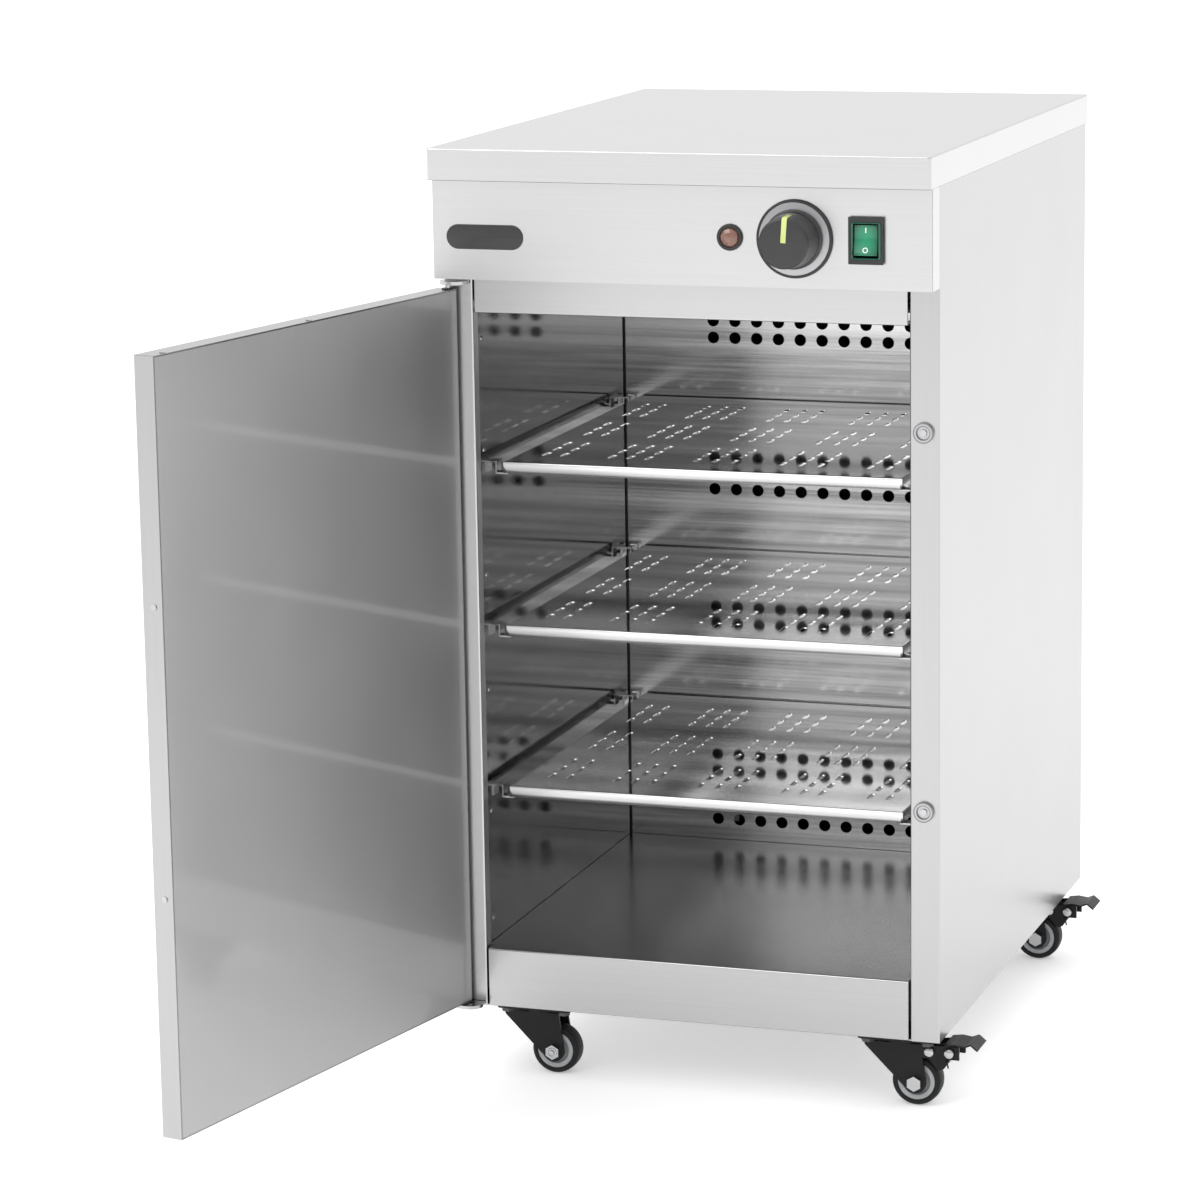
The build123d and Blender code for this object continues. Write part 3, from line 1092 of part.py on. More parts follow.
for name, castor_x, castor_y, braked in CASTORS:
    # Side view of the castor: x forward of the swivel axis, y the height.
    side_view = Plane(origin=(castor_x, castor_y, 0), x_dir=(1, 0, 0), z_dir=(0, -1, 0))
    wheel_x = castor_x + WHEEL_TRAIL
    wheel_axis = Axis((wheel_x, castor_y, WHEEL_Z), (0, -1, 0))
    wheel_plane = turned_plane(wheel_x, castor_y, WHEEL_Z)

    with BuildPart() as fork:
        with BuildSketch(side_view):
            with Locations((WHEEL_TRAIL, WHEEL_Z)):
                Circle(FORK_BOSS_DIAMETER / 2)
            with Locations((-FORK_BACK, FORK_TOP)):
                Rectangle(FORK_BACK + FORK_FRONT, FORK_BAND, align=(Align.MIN, Align.MAX))
            make_hull()
            if braked:
                with Locations((WHEEL_TRAIL, FORK_TOP)):
                    Rectangle(
                        BRAKE_LOBE_END - WHEEL_TRAIL,
                        FORK_TOP - BRAKE_LOBE_BOTTOM,
                        align=(Align.MIN, Align.MAX),
                    )
        extrude(amount=FORK_HALF, both=True)
        # Room for the wheel between the legs, under the crown.
        with BuildSketch(side_view):
            with Locations((-FORK_BACK, FORK_TOP - FORK_SHEET)):
                Rectangle(
                    FORK_BACK + BRAKE_LOBE_END, FORK_TOP, align=(Align.MIN, Align.MAX)
                )
            if braked:
                with Locations((BRAKE_WINDOW, FORK_TOP)):
                    Rectangle(BRAKE_LOBE_END, FORK_TOP, align=(Align.MIN, Align.MAX))
        extrude(amount=FORK_GAP / 2, both=True, mode=Mode.SUBTRACT)
        with BuildSketch(side_view):
            with Locations((WHEEL_TRAIL, WHEEL_Z)):
                Circle(AXLE_DIAMETER / 2 + AXLE_CLEARANCE)
        extrude(amount=FORK_HALF, both=True, mode=Mode.SUBTRACT)
        with BuildSketch(Plane.XY.offset(FORK_TOP - FORK_SHEET)):
            with Locations((castor_x, castor_y)):
                Circle(KINGPIN_DIAMETER / 2 + AXLE_CLEARANCE)
        extrude(amount=FORK_SHEET, mode=Mode.SUBTRACT)
        if braked:
            # Pivot pin across the fork and a rivet in each lobe.
            with BuildSketch(side_view):
                with Locations(BRAKE_PIVOT):
                    Circle(BRAKE_PIN_DIAMETER / 2)
            extrude(amount=FORK_HALF, both=True)
            for hand in (-1, 1):
                with BuildSketch(side_view.offset(hand * FORK_HALF)):
                    with Locations(BRAKE_PIVOT, BRAKE_SECOND_RIVET):
                        Circle(BRAKE_RIVET_HEAD / 2)
                extrude(amount=hand * BRAKE_RIVET_HEIGHT)
    fork.part.label = f"castor_fork_{name}"
    export_step(fork.part, f"parts/castor_fork_{name}.step")

    with BuildPart() as axle:
        with BuildSketch(side_view):
            with Locations((WHEEL_TRAIL, WHEEL_Z)):
                Circle(AXLE_DIAMETER / 2)
        extrude(amount=FORK_HALF, both=True)
        for hand in (-1, 1):
            with BuildSketch(side_view.offset(hand * FORK_HALF)):
                with Locations((WHEEL_TRAIL, WHEEL_Z)):
                    RegularPolygon(AXLE_HEX / 2 * HEX_CORNERS, 6, rotation=90)
            extrude(amount=hand * AXLE_HEAD)
    axle.part.label = f"castor_axle_{name}"
    export_step(axle.part, f"parts/castor_axle_{name}.step")

    hub_bore = AXLE_DIAMETER / 2 + AXLE_CLEARANCE
    with BuildPart() as rim:
        with BuildSketch(wheel_plane):
            with Locations((0, hub_bore)):
                Rectangle(HUB_WIDTH, HUB_DIAMETER / 2 - hub_bore, align=(Align.CENTER, Align.MIN))
                Rectangle(
                    WEB_THICKNESS, RIM_DIAMETER / 2 - hub_bore, align=(Align.CENTER, Align.MIN)
                )
            with Locations((0, RIM_DIAMETER / 2)):
                Rectangle(
                    WHEEL_WIDTH - 2 * SHEET, RIM_RING, align=(Align.CENTER, Align.MAX)
                )
        revolve(axis=wheel_axis)
    rim.part.label = f"castor_rim_{name}"
    export_step(rim.part, f"parts/castor_rim_{name}.step")

    with BuildPart() as tyre:
        with BuildSketch(wheel_plane):
            with Locations((0, TYRE_BORE / 2)):
                Rectangle(
                    WHEEL_WIDTH, (WHEEL_DIAMETER - TYRE_BORE) / 2, align=(Align.CENTER, Align.MIN)
                )
        revolve(axis=wheel_axis)
    tyre.part.label = f"castor_tyre_{name}"
    export_step(tyre.part, f"parts/castor_tyre_{name}.step")

    if not braked:
        continue

    ear_half = FORK_GAP / 2 - PEDAL_EAR_GAP
    pedal_z = FORK_TOP + PEDAL_LIFT
    with BuildPart() as brake_pedal:
        # Two ears on the pivot pin, carrying the shoe.
        with BuildSketch(side_view):
            with Locations(BRAKE_PIVOT):
                Circle(BRAKE_PIN_DIAMETER)
            with Locations(SHOE_PLACE):
                Circle(SHOE_DIAMETER / 2)
            with Locations((PEDAL_START + PEDAL_SHEET, pedal_z + PEDAL_RISE)):
                Rectangle(PEDAL_WAVE - PEDAL_SHEET, PEDAL_EAR_HEIGHT, align=(Align.MIN, Align.MAX))
            make_hull()
        extrude(amount=ear_half, both=True)
        with BuildSketch(side_view):
            with Locations((0, WHEEL_Z)):
                Rectangle(PEDAL_TIP, FORK_TOP, align=Align.MIN)
        extrude(amount=ear_half - PEDAL_SHEET, both=True, mode=Mode.SUBTRACT)
        with BuildSketch(side_view):
            with Locations(SHOE_PLACE):
                Circle(SHOE_DIAMETER / 2)
        extrude(amount=ear_half, both=True)
        with BuildSketch(side_view):
            with Locations(BRAKE_PIVOT):
                Circle(BRAKE_PIN_DIAMETER / 2 + AXLE_CLEARANCE)
        extrude(amount=ear_half, both=True, mode=Mode.SUBTRACT)
        # Tread, waved and turned down at its tip.
        with BuildSketch(side_view):
            with BuildLine():
                Polyline(
                    (PEDAL_START, pedal_z),
                    (PEDAL_START + PEDAL_WAVE, pedal_z + PEDAL_RISE),
                    (PEDAL_START + 2 * PEDAL_WAVE, pedal_z),
                    (PEDAL_TIP - PEDAL_TURN_DOWN, pedal_z + 2 * PEDAL_RISE),
                    (PEDAL_TIP, pedal_z - 2 * PEDAL_RISE),
                )
                offset(amount=PEDAL_SHEET, side=Side.LEFT)
            make_face()
        extrude(amount=PEDAL_WIDTH / 2, both=True)
    brake_pedal.part.label = f"brake_pedal_{name}"
    export_step(brake_pedal.part, f"parts/brake_pedal_{name}.step")
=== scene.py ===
"""Plate warmer cabinet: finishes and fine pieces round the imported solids, laid out as an add-on."""

from math import cos, pi, radians, sin, tau

import bmesh
import bpy
import numpy as np
from bpy.props import FloatProperty, FloatVectorProperty, IntProperty, PointerProperty
from mathutils import Matrix, Vector


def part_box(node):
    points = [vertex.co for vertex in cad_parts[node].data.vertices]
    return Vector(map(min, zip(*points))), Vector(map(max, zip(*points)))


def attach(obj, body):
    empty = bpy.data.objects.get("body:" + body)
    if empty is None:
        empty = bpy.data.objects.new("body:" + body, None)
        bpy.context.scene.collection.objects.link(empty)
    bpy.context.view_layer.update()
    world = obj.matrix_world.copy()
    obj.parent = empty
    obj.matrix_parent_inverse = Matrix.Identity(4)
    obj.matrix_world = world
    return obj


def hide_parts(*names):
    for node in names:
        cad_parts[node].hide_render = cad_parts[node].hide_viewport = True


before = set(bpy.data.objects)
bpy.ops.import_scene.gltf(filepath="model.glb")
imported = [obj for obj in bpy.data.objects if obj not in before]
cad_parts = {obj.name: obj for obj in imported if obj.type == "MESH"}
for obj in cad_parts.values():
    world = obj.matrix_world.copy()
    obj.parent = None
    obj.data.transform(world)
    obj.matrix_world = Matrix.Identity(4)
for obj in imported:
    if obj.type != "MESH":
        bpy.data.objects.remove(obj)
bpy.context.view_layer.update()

bl_info = {
    "name": "Plate warmer cabinet",
    "version": (1, 0, 0),
    "blender": (4, 5, 0),
    "location": "View3D > Sidebar > Plate Warmer",
    "description": "Builds the visible pieces and finishes of a heated plate cabinet",
    "category": "Object",
}

MM = 0.001
FRONT = (0, -1, 0)
UP = (0, 0, 1)
CORNERS = ("front_left", "front_right", "rear_left", "rear_right")
BRAKED = ("front_right", "rear_right")
SHELVES = ("shelf_bottom", "shelf_middle", "shelf_top")
SIDE_STEPS = 6  # points along each side of a sheet's cell
CREASE = 35.0  # degrees between two faces past which their edge stays sharp
WELD = 2e-6  # points of a new surface that lie nearer than this are made one
SAME = 1e-6  # the same for a solid's points, and the length below which an edge is dropped
ALIGNED = 0.9999  # cosine between two directions above which they count as one
CASING_FOLD = 0.38 * MM  # radius of the casing's folded edges
SHELF_GAUGE = 1.0 * MM  # thickness of a shelf's sheet
# Scales of the grain along x, y and z, by the direction in which a sheet is brushed.
UPRIGHT, LEVEL, ACROSS = (900.0, 900.0, 6.0), (5.0, 5.0, 1400.0), (5.0, 900.0, 900.0)
FINISHES = {}  # materials by key, filled by the first operator


# ------------------------------------------------------------------ settings
def metric(label, text, value):
    """A length setting, in metres."""
    return FloatProperty(
        name=label, description=text, default=value, min=0.0, max=1.0, unit="LENGTH", precision=5
    )


def share(label, text, value, high=1.0):
    """A setting between nought and a limit."""
    return FloatProperty(name=label, description=text, default=value, min=0.0, max=high)


def tint(label, text, value):
    """A colour setting."""
    return FloatVectorProperty(
        name=label, description=text, default=value, size=3, min=0.0, max=1.0, subtype="COLOR"
    )


class SteelSettings(bpy.types.PropertyGroup):
    """Colours and blur of the metal sheets and small metal parts"""

    satin: tint("Satin steel", "Reflectance of the casing's brushed sheet", (0.49, 0.49, 0.49))
    control: tint("Control steel", "Reflectance of the cover and fascia", (0.61, 0.61, 0.61))
    shelf: tint("Shelf steel", "Reflectance of the shelves", (0.80, 0.80, 0.80))
    liner: tint("Liner steel", "Reflectance of the chamber's walls", (0.62, 0.62, 0.62))
    basin: tint("Basin steel", "Reflectance of the chamber's floor", (0.46, 0.46, 0.46))
    door: tint("Door steel", "Reflectance of the door's inner face", (0.49, 0.49, 0.49))
    satin_roughness: share("Satin roughness", "Blur of reflections in the casing", 0.30)
    shelf_roughness: share("Shelf roughness", "Blur of reflections in the shelves", 0.05)
    liner_roughness: share("Liner roughness", "Blur of reflections in the chamber", 0.06)
    door_roughness: share("Door roughness", "Blur of reflections in the door's inner face", 0.56)
    plated: tint("Plated steel", "Reflectance of nuts, rivets and brackets", (0.49, 0.49, 0.50))
    black: tint("Black coat", "Paint of the castor forks and pedals", (0.008, 0.008, 0.009))


class SheetSettings(bpy.types.PropertyGroup):
    """Holes of the shelves and of the chamber's back wall"""

    slot_width: metric("Slot width", "Width of a shelf slot", 5.0 * MM)
    slot_length: metric("Slot length", "Length of a shelf slot, end to end", 18.0 * MM)
    slot_pitch_x: metric("Slot pitch across", "Slot to slot across the shelf", 17.2 * MM)
    slot_pitch_y: metric("Slot pitch along", "Slot to slot along the shelf", 28.5 * MM)
    cluster_x: metric("Group pitch across", "Group to group across the shelf", 79.3 * MM)
    cluster_y: metric("Group pitch along", "Group to group along the shelf", 114.3 * MM)
    slot_shift: metric("Slot shift", "Pattern's middle in front of the shelf's middle", 5.0 * MM)
    fold: metric("Fold radius", "Radius of a shelf's folded edge", 1.4 * MM)
    air_hole: metric("Air hole", "Diameter of the back wall's holes", 11.6 * MM)
    air_pitch: metric("Air hole pitch", "Hole to hole along a row", 21.8 * MM)
    air_row_pitch: metric("Air row pitch", "Row to row in a pair", 16.5 * MM)
    air_low: metric("Lowest air holes", "Lowest pair of rows above the wall's foot", 40.7 * MM)
    air_rise: metric("Air hole rise", "Other pairs of rows above their shelf", 66.8 * MM)
    air_columns: IntProperty(name="Air holes", description="Holes in a row", default=11, min=1)


class ControlSettings(bpy.types.PropertyGroup):
    """Colours and small sizes of the knob, lamp and switch"""

    knob: tint("Knob", "Colour of the knob", (0.022, 0.022, 0.023))
    pointer: tint("Pointer", "Colour of the knob's pointer", (0.62, 0.68, 0.24))
    lens: tint("Lamp lens", "Colour of the signal lamp's lens", (0.20, 0.085, 0.055))
    # The rocker's bright middle is a painted glow, and its dark edges are painted shade.
    rocker: tint("Rocker", "Colour of the middle of the switch's rocker", (0.0, 0.26, 0.12))
    rocker_edge_shade: tint("Rocker edge", "Colour of the rocker's edges", (0.0, 0.035, 0.018))
    collar: tint("Collar", "Colour of the collar round the rocker", (0.0, 0.085, 0.045))
    mark: tint("Marks", "Colour of the switch's marks", (0.85, 0.88, 0.86))
    # The dark rim of the bezel is painted shade.
    bezel_shade_rim: metric("Bezel rim", "Width of the dark rim of the knob's bezel", 2.6 * MM)
    pointer_width: metric("Pointer width", "Width of the knob's pointer", 4.4 * MM)
    pointer_turn: FloatProperty(
        name="Pointer turn", description="Pointer from upright", default=radians(4), subtype="ANGLE"
    )


class CastorSettings(bpy.types.PropertyGroup):
    """Colours and tyre shape of the castors"""

    rubber: tint("Tyre", "Colour of the tyres", (0.012, 0.012, 0.012))
    rim: tint("Rim", "Colour of the rims", (0.36, 0.37, 0.38))
    crown: metric("Tyre shoulder", "Radius of the tyre's shoulders", 3.4 * MM)


class StudioSettings(bpy.types.PropertyGroup):
    """Floor, surround, light and camera"""

    floor: tint("Floor", "Colour of the floor", (0.97, 0.97, 0.97))
    glow: share("Glow", "Light the floor gives off itself", 0.33)
    sky: share("Surround", "Strength of the white surround at the skyline", 0.8, 5.0)
    fade: share("Fade", "How much brighter the surround is behind", 0.22)
    lift: share("Lift", "How much brighter the surround is overhead", 0.6, 2.0)
    key: share("Key light", "Power of the large soft light, in watts", 36.0, 2000.0)
    lens: FloatProperty(name="Lens", description="Focal length in millimetres", default=129.0)
    eye: FloatVectorProperty(
        name="Camera place", description="Place of the camera", default=(1.1128, -3.7821, 1.2065),
        subtype="TRANSLATION", unit="LENGTH",
    )
    turn: FloatProperty(name="Turn", description="Camera's turn", default=0.3284, subtype="ANGLE")
    tilt: FloatProperty(name="Tilt", description="Camera's tilt", default=-0.2019, subtype="ANGLE")
    roll: FloatProperty(name="Roll", description="Camera's roll", default=-0.0159, subtype="ANGLE")


# ------------------------------------------------------------------ surfaces
def centre_of(node):
    """Middle of the box round a solid of the frame."""
    low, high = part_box(node)
    return (low + high) / 2


def quads(rows, columns, wrap_rows=False, wrap_columns=False):
    """Corner numbers of the four-sided faces between neighbouring points of a grid."""
    row, column = np.meshgrid(
        np.arange(rows if wrap_rows else rows - 1),
        np.arange(columns if wrap_columns else columns - 1),
        indexing="ij",
    )
    below, beside = (row + 1) % rows, (column + 1) % columns
    faces = (
        row * columns + column,
        below * columns + column,
        below * columns + beside,
        row * columns + beside,
    )
    return np.stack(faces, -1).reshape(-1, 4)


def placed(patches, origin, out=FRONT, up=UP):
    """Patches whose points' x, y and z are set along right, up and out from an origin; right is the
    cross product of up and out."""
    out, up = np.array(out, float), np.array(up, float)
    axes = np.stack([np.cross(up, out), up, out])
    return [(points @ axes + np.array(origin, float), faces) for points, faces in patches]


def rounded(corners, radii, steps=5):
    """A closed outline whose corners are arcs. Each arc's points turn evenly about a centre on the
    corner's bisector, at radius over the sine of half the corner's angle."""
    corner = np.array(corners, float)
    radius = np.broadcast_to(np.array(radii, float), len(corner))[:, None]
    back = np.roll(corner, 1, 0) - corner
    onward = np.roll(corner, -1, 0) - corner
    back /= np.linalg.norm(back, axis=1, keepdims=True)
    onward /= np.linalg.norm(onward, axis=1, keepdims=True)
    half = np.arccos(np.clip((back * onward).sum(1, keepdims=True), -1, 1)) / 2
    bisector = back + onward
    bisector /= np.linalg.norm(bisector, axis=1, keepdims=True)
    centre = corner + bisector * radius / np.sin(half)
    start = corner + back * radius / np.tan(half) - centre
    end = corner + onward * radius / np.tan(half) - centre
    turn = (pi - 2 * half)[:, None]
    s = np.linspace(0, 1, steps)[None, :, None]
    arc = (np.sin((1 - s) * turn) * start[:, None] + np.sin(s * turn) * end[:, None]) / np.sin(turn)
    return (centre[:, None] + arc).reshape(-1, 2)


def box_outline(width, height, radius, steps=5):
    """A rounded rectangle about the origin."""
    x, y = width / 2, height / 2
    return rounded([(-x, -y), (x, -y), (x, y), (-x, y)], radius, steps)


def inset(outline, amount):
    """An outline moved inwards along the mean of its neighbouring edges' normals."""
    edge = np.roll(outline, -1, 0) - np.roll(outline, 1, 0)
    normal = np.stack([edge[:, 1], -edge[:, 0]], 1)
    normal /= np.linalg.norm(normal, axis=1, keepdims=True) + 1e-12
    return outline - normal * amount


def slab(outline, low, high, soft=0.0, steps=3):
    """A flat plate: the outline rises from low to high, and its rim rolls over at both faces by a
    quarter circle of radius soft; each face is one polygon."""
    turn = np.linspace(0, pi / 2, steps)
    step_in = soft * (1 - np.sin(turn))
    rise = soft * (1 - np.cos(turn))
    insets = np.concatenate([step_in, step_in[::-1]])
    heights = np.concatenate([low + rise, high - rise[::-1]])
    rings = [np.column_stack([inset(outline, i), np.full(len(outline), h)])
             for i, h in zip(insets, heights)]
    count = len(outline)
    last = (len(rings) - 1) * count
    caps = np.stack([np.arange(count)[::-1], last + np.arange(count)])
    return [(np.stack(rings), quads(len(rings), count, wrap_columns=True)), (np.stack(rings), caps)]


def ring_frame(outer, inner, low, high, soft):
    """A plate with a hole: outer and inner outlines of equal length, closed round the section."""
    section = [(outer, low), (outer, high - soft), (inset(outer, soft), high),
               (inset(inner, -soft), high), (inner, high - soft), (inner, low)]
    grid = np.stack([np.column_stack([line, np.full(len(line), z)]) for line, z in section])
    return [(grid, quads(len(section), len(outer), wrap_rows=True, wrap_columns=True))]


def turned(profile, segments=64, closed=False):
    """A turned surface: each (height, radius) of the profile goes round the local z axis."""
    height, radius = np.array(profile, float).T
    angle = np.arange(segments) * tau / segments
    grid = np.empty((len(height), segments, 3))
    grid[..., 0] = radius[:, None] * np.cos(angle)
    grid[..., 1] = radius[:, None] * np.sin(angle)
    grid[..., 2] = height[:, None]
    return [(grid, quads(len(height), segments, wrap_rows=closed, wrap_columns=True))]


def rivet_head(radius, height, foot, rings=5):
    """Profile of a domed head on a short foot. The dome's height is the whole height times the root
    of one less the square of the reach, which goes from 0 at the axis to 1 at the rim."""
    reach = np.linspace(0, 1, rings)
    dome = np.column_stack([height * (1 - reach**2) ** 0.5, radius * reach])
    return np.concatenate([dome, [(-foot, radius), (-foot, 0)]])


def wire(path, radius, segments):
    """A round wire: a circle carried along a path, square to the path's direction. Its start is
    square to a slanting line that no stretch of the path runs along."""
    along = np.gradient(path, axis=0)
    along /= np.linalg.norm(along, axis=1, keepdims=True)
    slant = np.array([0.13, 0.97, 0.21])
    side = np.cross(along, slant)
    side /= np.linalg.norm(side, axis=1, keepdims=True)
    over = np.cross(along, side)
    angle = np.arange(segments) * tau / segments
    ring = side[:, None] * np.cos(angle)[:, None] + over[:, None] * np.sin(angle)[:, None]
    grid = path[:, None] + radius * ring
    count = len(path)
    caps = np.stack([np.arange(segments)[::-1], (count - 1) * segments + np.arange(segments)])
    return [(grid, quads(count, segments, wrap_columns=True)), (grid, caps)]


def square_walk(steps):
    """Points round a square from -1 to 1, evenly spaced on its sides, anticlockwise."""
    s = np.linspace(-1, 1, steps, endpoint=False)
    one = np.ones(steps)
    x = np.concatenate([s, one, -s, -one])
    y = np.concatenate([-one, s, one, -s])
    return np.column_stack([x, y])


def pierced(edges_x, edges_y, open_x, open_y, radius, length):
    """A flat sheet of cells between ruled lines. An open cell is a ring of faces from the cell's
    own border in to a slot: a circle whose two halves are drawn apart by the slot's length less
    its width."""
    walk = square_walk(SIDE_STEPS)
    count = len(walk)
    cell_x, cell_y = np.meshgrid(np.arange(len(edges_x) - 1), np.arange(len(edges_y) - 1))
    cell_x, cell_y = cell_x.ravel(), cell_y.ravel()
    low = np.column_stack([edges_x[cell_x], edges_y[cell_y]])
    high = np.column_stack([edges_x[cell_x + 1], edges_y[cell_y + 1]])
    middle, half = (low + high) / 2, (high - low) / 2
    border = middle[:, None] + walk * half[:, None]
    is_open = open_x[cell_x] & open_y[cell_y]
    angle = np.arctan2(walk[:, 1], walk[:, 0])
    slot = radius * np.column_stack([np.cos(angle), np.sin(angle)])
    slot[:, 1] += np.sign(np.round(np.sin(angle), 6)) * (length / 2 - radius)
    inner = middle[is_open][:, None] + slot
    rings = np.stack([border[is_open], inner], 1)
    ring_faces = quads(2, count, wrap_columns=True)[:, ::-1]
    ring_faces = (ring_faces + 2 * count * np.arange(len(rings))[:, None, None]).reshape(-1, 4)
    plain = border[~is_open]
    plain_faces = np.arange(plain.shape[0] * count).reshape(-1, count)
    flat = [(rings, ring_faces), (plain, plain_faces)]
    return [(np.concatenate([p, np.zeros(p.shape[:-1] + (1,))], -1), f) for p, f in flat]


def ruled(centres, cell, low, high):
    """Lines on both sides of each centre, and at both ends, with which stretches hold a centre: a
    stretch does where its middle lies within a tenth of a cell of one."""
    centres = np.sort(np.array(centres, float))
    lines = np.concatenate([[low, high], centres - cell / 2, centres + cell / 2])
    lines = np.unique(np.round(lines, 7))
    middles = (lines[1:] + lines[:-1]) / 2
    holds = (np.abs(middles[:, None] - centres) < cell * 0.1).any(1)
    return lines, holds


def border_walk(edges_x, edges_y):
    """The outer border of a ruled sheet, anticlockwise, with the same points as its cells."""
    def spread(edges):
        s = np.linspace(0, 1, SIDE_STEPS, endpoint=False)
        return (edges[:-1, None] + (edges[1:] - edges[:-1])[:, None] * s).ravel()
    x, y = spread(edges_x), spread(edges_y)
    x_back, y_back = spread(edges_x[::-1]), spread(edges_y[::-1])
    left, right, front, rear = edges_x[0], edges_x[-1], edges_y[0], edges_y[-1]
    return np.concatenate([
        np.column_stack([x, np.full_like(x, front)]),
        np.column_stack([np.full_like(y, right), y]),
        np.column_stack([x_back, np.full_like(x_back, rear)]),
        np.column_stack([np.full_like(y_back, left), y_back]),
    ])


def mesh_from(name, patches, solid=True):
    """One mesh of several patches, each of points and faces, with shared points welded."""
    sizes = [points.size // 3 for points, faces in patches]
    starts = np.cumsum([0] + sizes[:-1])
    points = np.concatenate([points.reshape(-1, 3) for points, faces in patches])
    faces = [faces + start for (_, faces), start in zip(patches, starts)]
    corners = np.concatenate([face.ravel() for face in faces]).astype(np.int32)
    lengths = np.concatenate([np.full(len(face), face.shape[1]) for face in faces])
    mesh = bpy.data.meshes.new(name)
    mesh.vertices.add(len(points))
    mesh.vertices.foreach_set("co", points.astype(np.float32).ravel())
    mesh.loops.add(len(corners))
    mesh.loops.foreach_set("vertex_index", corners)
    mesh.polygons.add(len(lengths))
    mesh.polygons.foreach_set("loop_start", (np.cumsum(lengths) - lengths).astype(np.int32))
    mesh.update(calc_edges=True)
    mesh.validate()
    form = bmesh.new()
    form.from_mesh(mesh)
    bmesh.ops.remove_doubles(form, verts=form.verts, dist=WELD)
    bmesh.ops.dissolve_degenerate(form, edges=form.edges, dist=SAME)
    if solid:
        bmesh.ops.recalc_face_normals(form, faces=form.faces)
    form.to_mesh(mesh)
    form.free()
    return mesh


def put(name, data):
    """An object in the scene's own collection."""
    made = bpy.data.objects.new(name, data)
    bpy.context.scene.collection.objects.link(made)
    return made


def add_piece(
    name, patches, body, finish, stands_for=(), solid=True, crease=CREASE, flat=None
):
    """An object made of patches that rides on a body and may stand for solids of the frame. Faces
    across the flat direction keep their own normal, which a smooth shade would bend at a hole."""
    mesh = mesh_from(name, patches, solid)
    piece = put(name, mesh)
    mesh.materials.append(FINISHES[finish])
    mesh.shade_smooth()
    mesh.set_sharp_from_angle(angle=radians(crease))
    if flat is not None:
        normal = np.empty(3 * len(mesh.polygons), np.float32)
        mesh.polygons.foreach_get("normal", normal)
        bent = np.abs(normal.reshape(-1, 3) @ np.array(flat, float)) < ALIGNED
        mesh.polygons.foreach_set("use_smooth", bent)
    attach(piece, body)
    if stands_for:
        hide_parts(*stands_for)
    return piece


def thicken(piece, gauge, offset=-1.0):
    """Gives a surface a wall: behind its faces, or with offset 0 to both sides of them."""
    wall = piece.modifiers.new("Thickness", "SOLIDIFY")
    wall.thickness = gauge
    wall.offset = offset


def soften(node, body, finish, radius, edge=None):
    """A copy of a solid whose sharp edges are rolled over, to stand for it. The rolled edges may take
    a darker finish of their own, painted shade that draws them as thin dark lines. Normals are
    weighed by area, so that flat sheets stay flat."""
    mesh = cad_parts[node].data.copy()
    form = bmesh.new()
    form.from_mesh(mesh)
    coplanar = radians(0.8)
    bmesh.ops.remove_doubles(form, verts=form.verts, dist=SAME)
    bmesh.ops.dissolve_limit(
        form, angle_limit=coplanar, verts=form.verts, edges=form.edges, delimit={"NORMAL"}
    )
    form.to_mesh(mesh)
    form.free()
    piece = put(node + "_soft", mesh)
    mesh.materials.clear()
    mesh.materials.append(FINISHES[finish])
    if edge is not None:
        mesh.materials.append(FINISHES[edge])
    mesh.shade_smooth()
    bevel = piece.modifiers.new("Edges", "BEVEL")
    bevel.width = radius
    bevel.segments = 2
    # The bevel's faces take the second slot, the dark edge finish: painted shade.
    bevel.material = 0 if edge is None else 1
    bevel.limit_method = "ANGLE"
    bevel.angle_limit = radians(CREASE)
    weigh = piece.modifiers.new("Normals", "WEIGHTED_NORMAL")
    weigh.weight = 100
    weigh.keep_sharp = True
    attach(piece, body)
    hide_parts(node)


# ------------------------------------------------------------------ finishes
class Signal:
    """A number that varies over a surface. Arithmetic on it adds Math nodes to its finish."""

    def __init__(self, finish, socket):
        self.finish = finish
        self.socket = socket

    def _with(self, operation, first, second):
        node = self.finish.node("ShaderNodeMath", {"operation": operation}, {0: first, 1: second})
        return Signal(self.finish, node.outputs[0])

    def __add__(self, other):
        return self._with("ADD", self, other)

    __radd__ = __add__

    def __sub__(self, other):
        return self._with("SUBTRACT", self, other)

    def __rsub__(self, other):
        return self._with("SUBTRACT", other, self)

    def __mul__(self, other):
        return self._with("MULTIPLY", self, other)

    __rmul__ = __mul__

    def __truediv__(self, other):
        return self._with("DIVIDE", self, other)

    def __rtruediv__(self, other):
        return self._with("DIVIDE", other, self)

    def __pow__(self, other):
        return self._with("POWER", self, other)

    def magnitude(self):
        """Its size without its sign: the root of its square."""
        return (self * self) ** 0.5

    def above(self, other):
        """1 where it is greater, and 0 elsewhere."""
        return self._with("GREATER_THAN", self, other)

    def at_most(self, other):
        return self._with("MINIMUM", self, other)

    def at_least(self, other):
        return self._with("MAXIMUM", self, other)


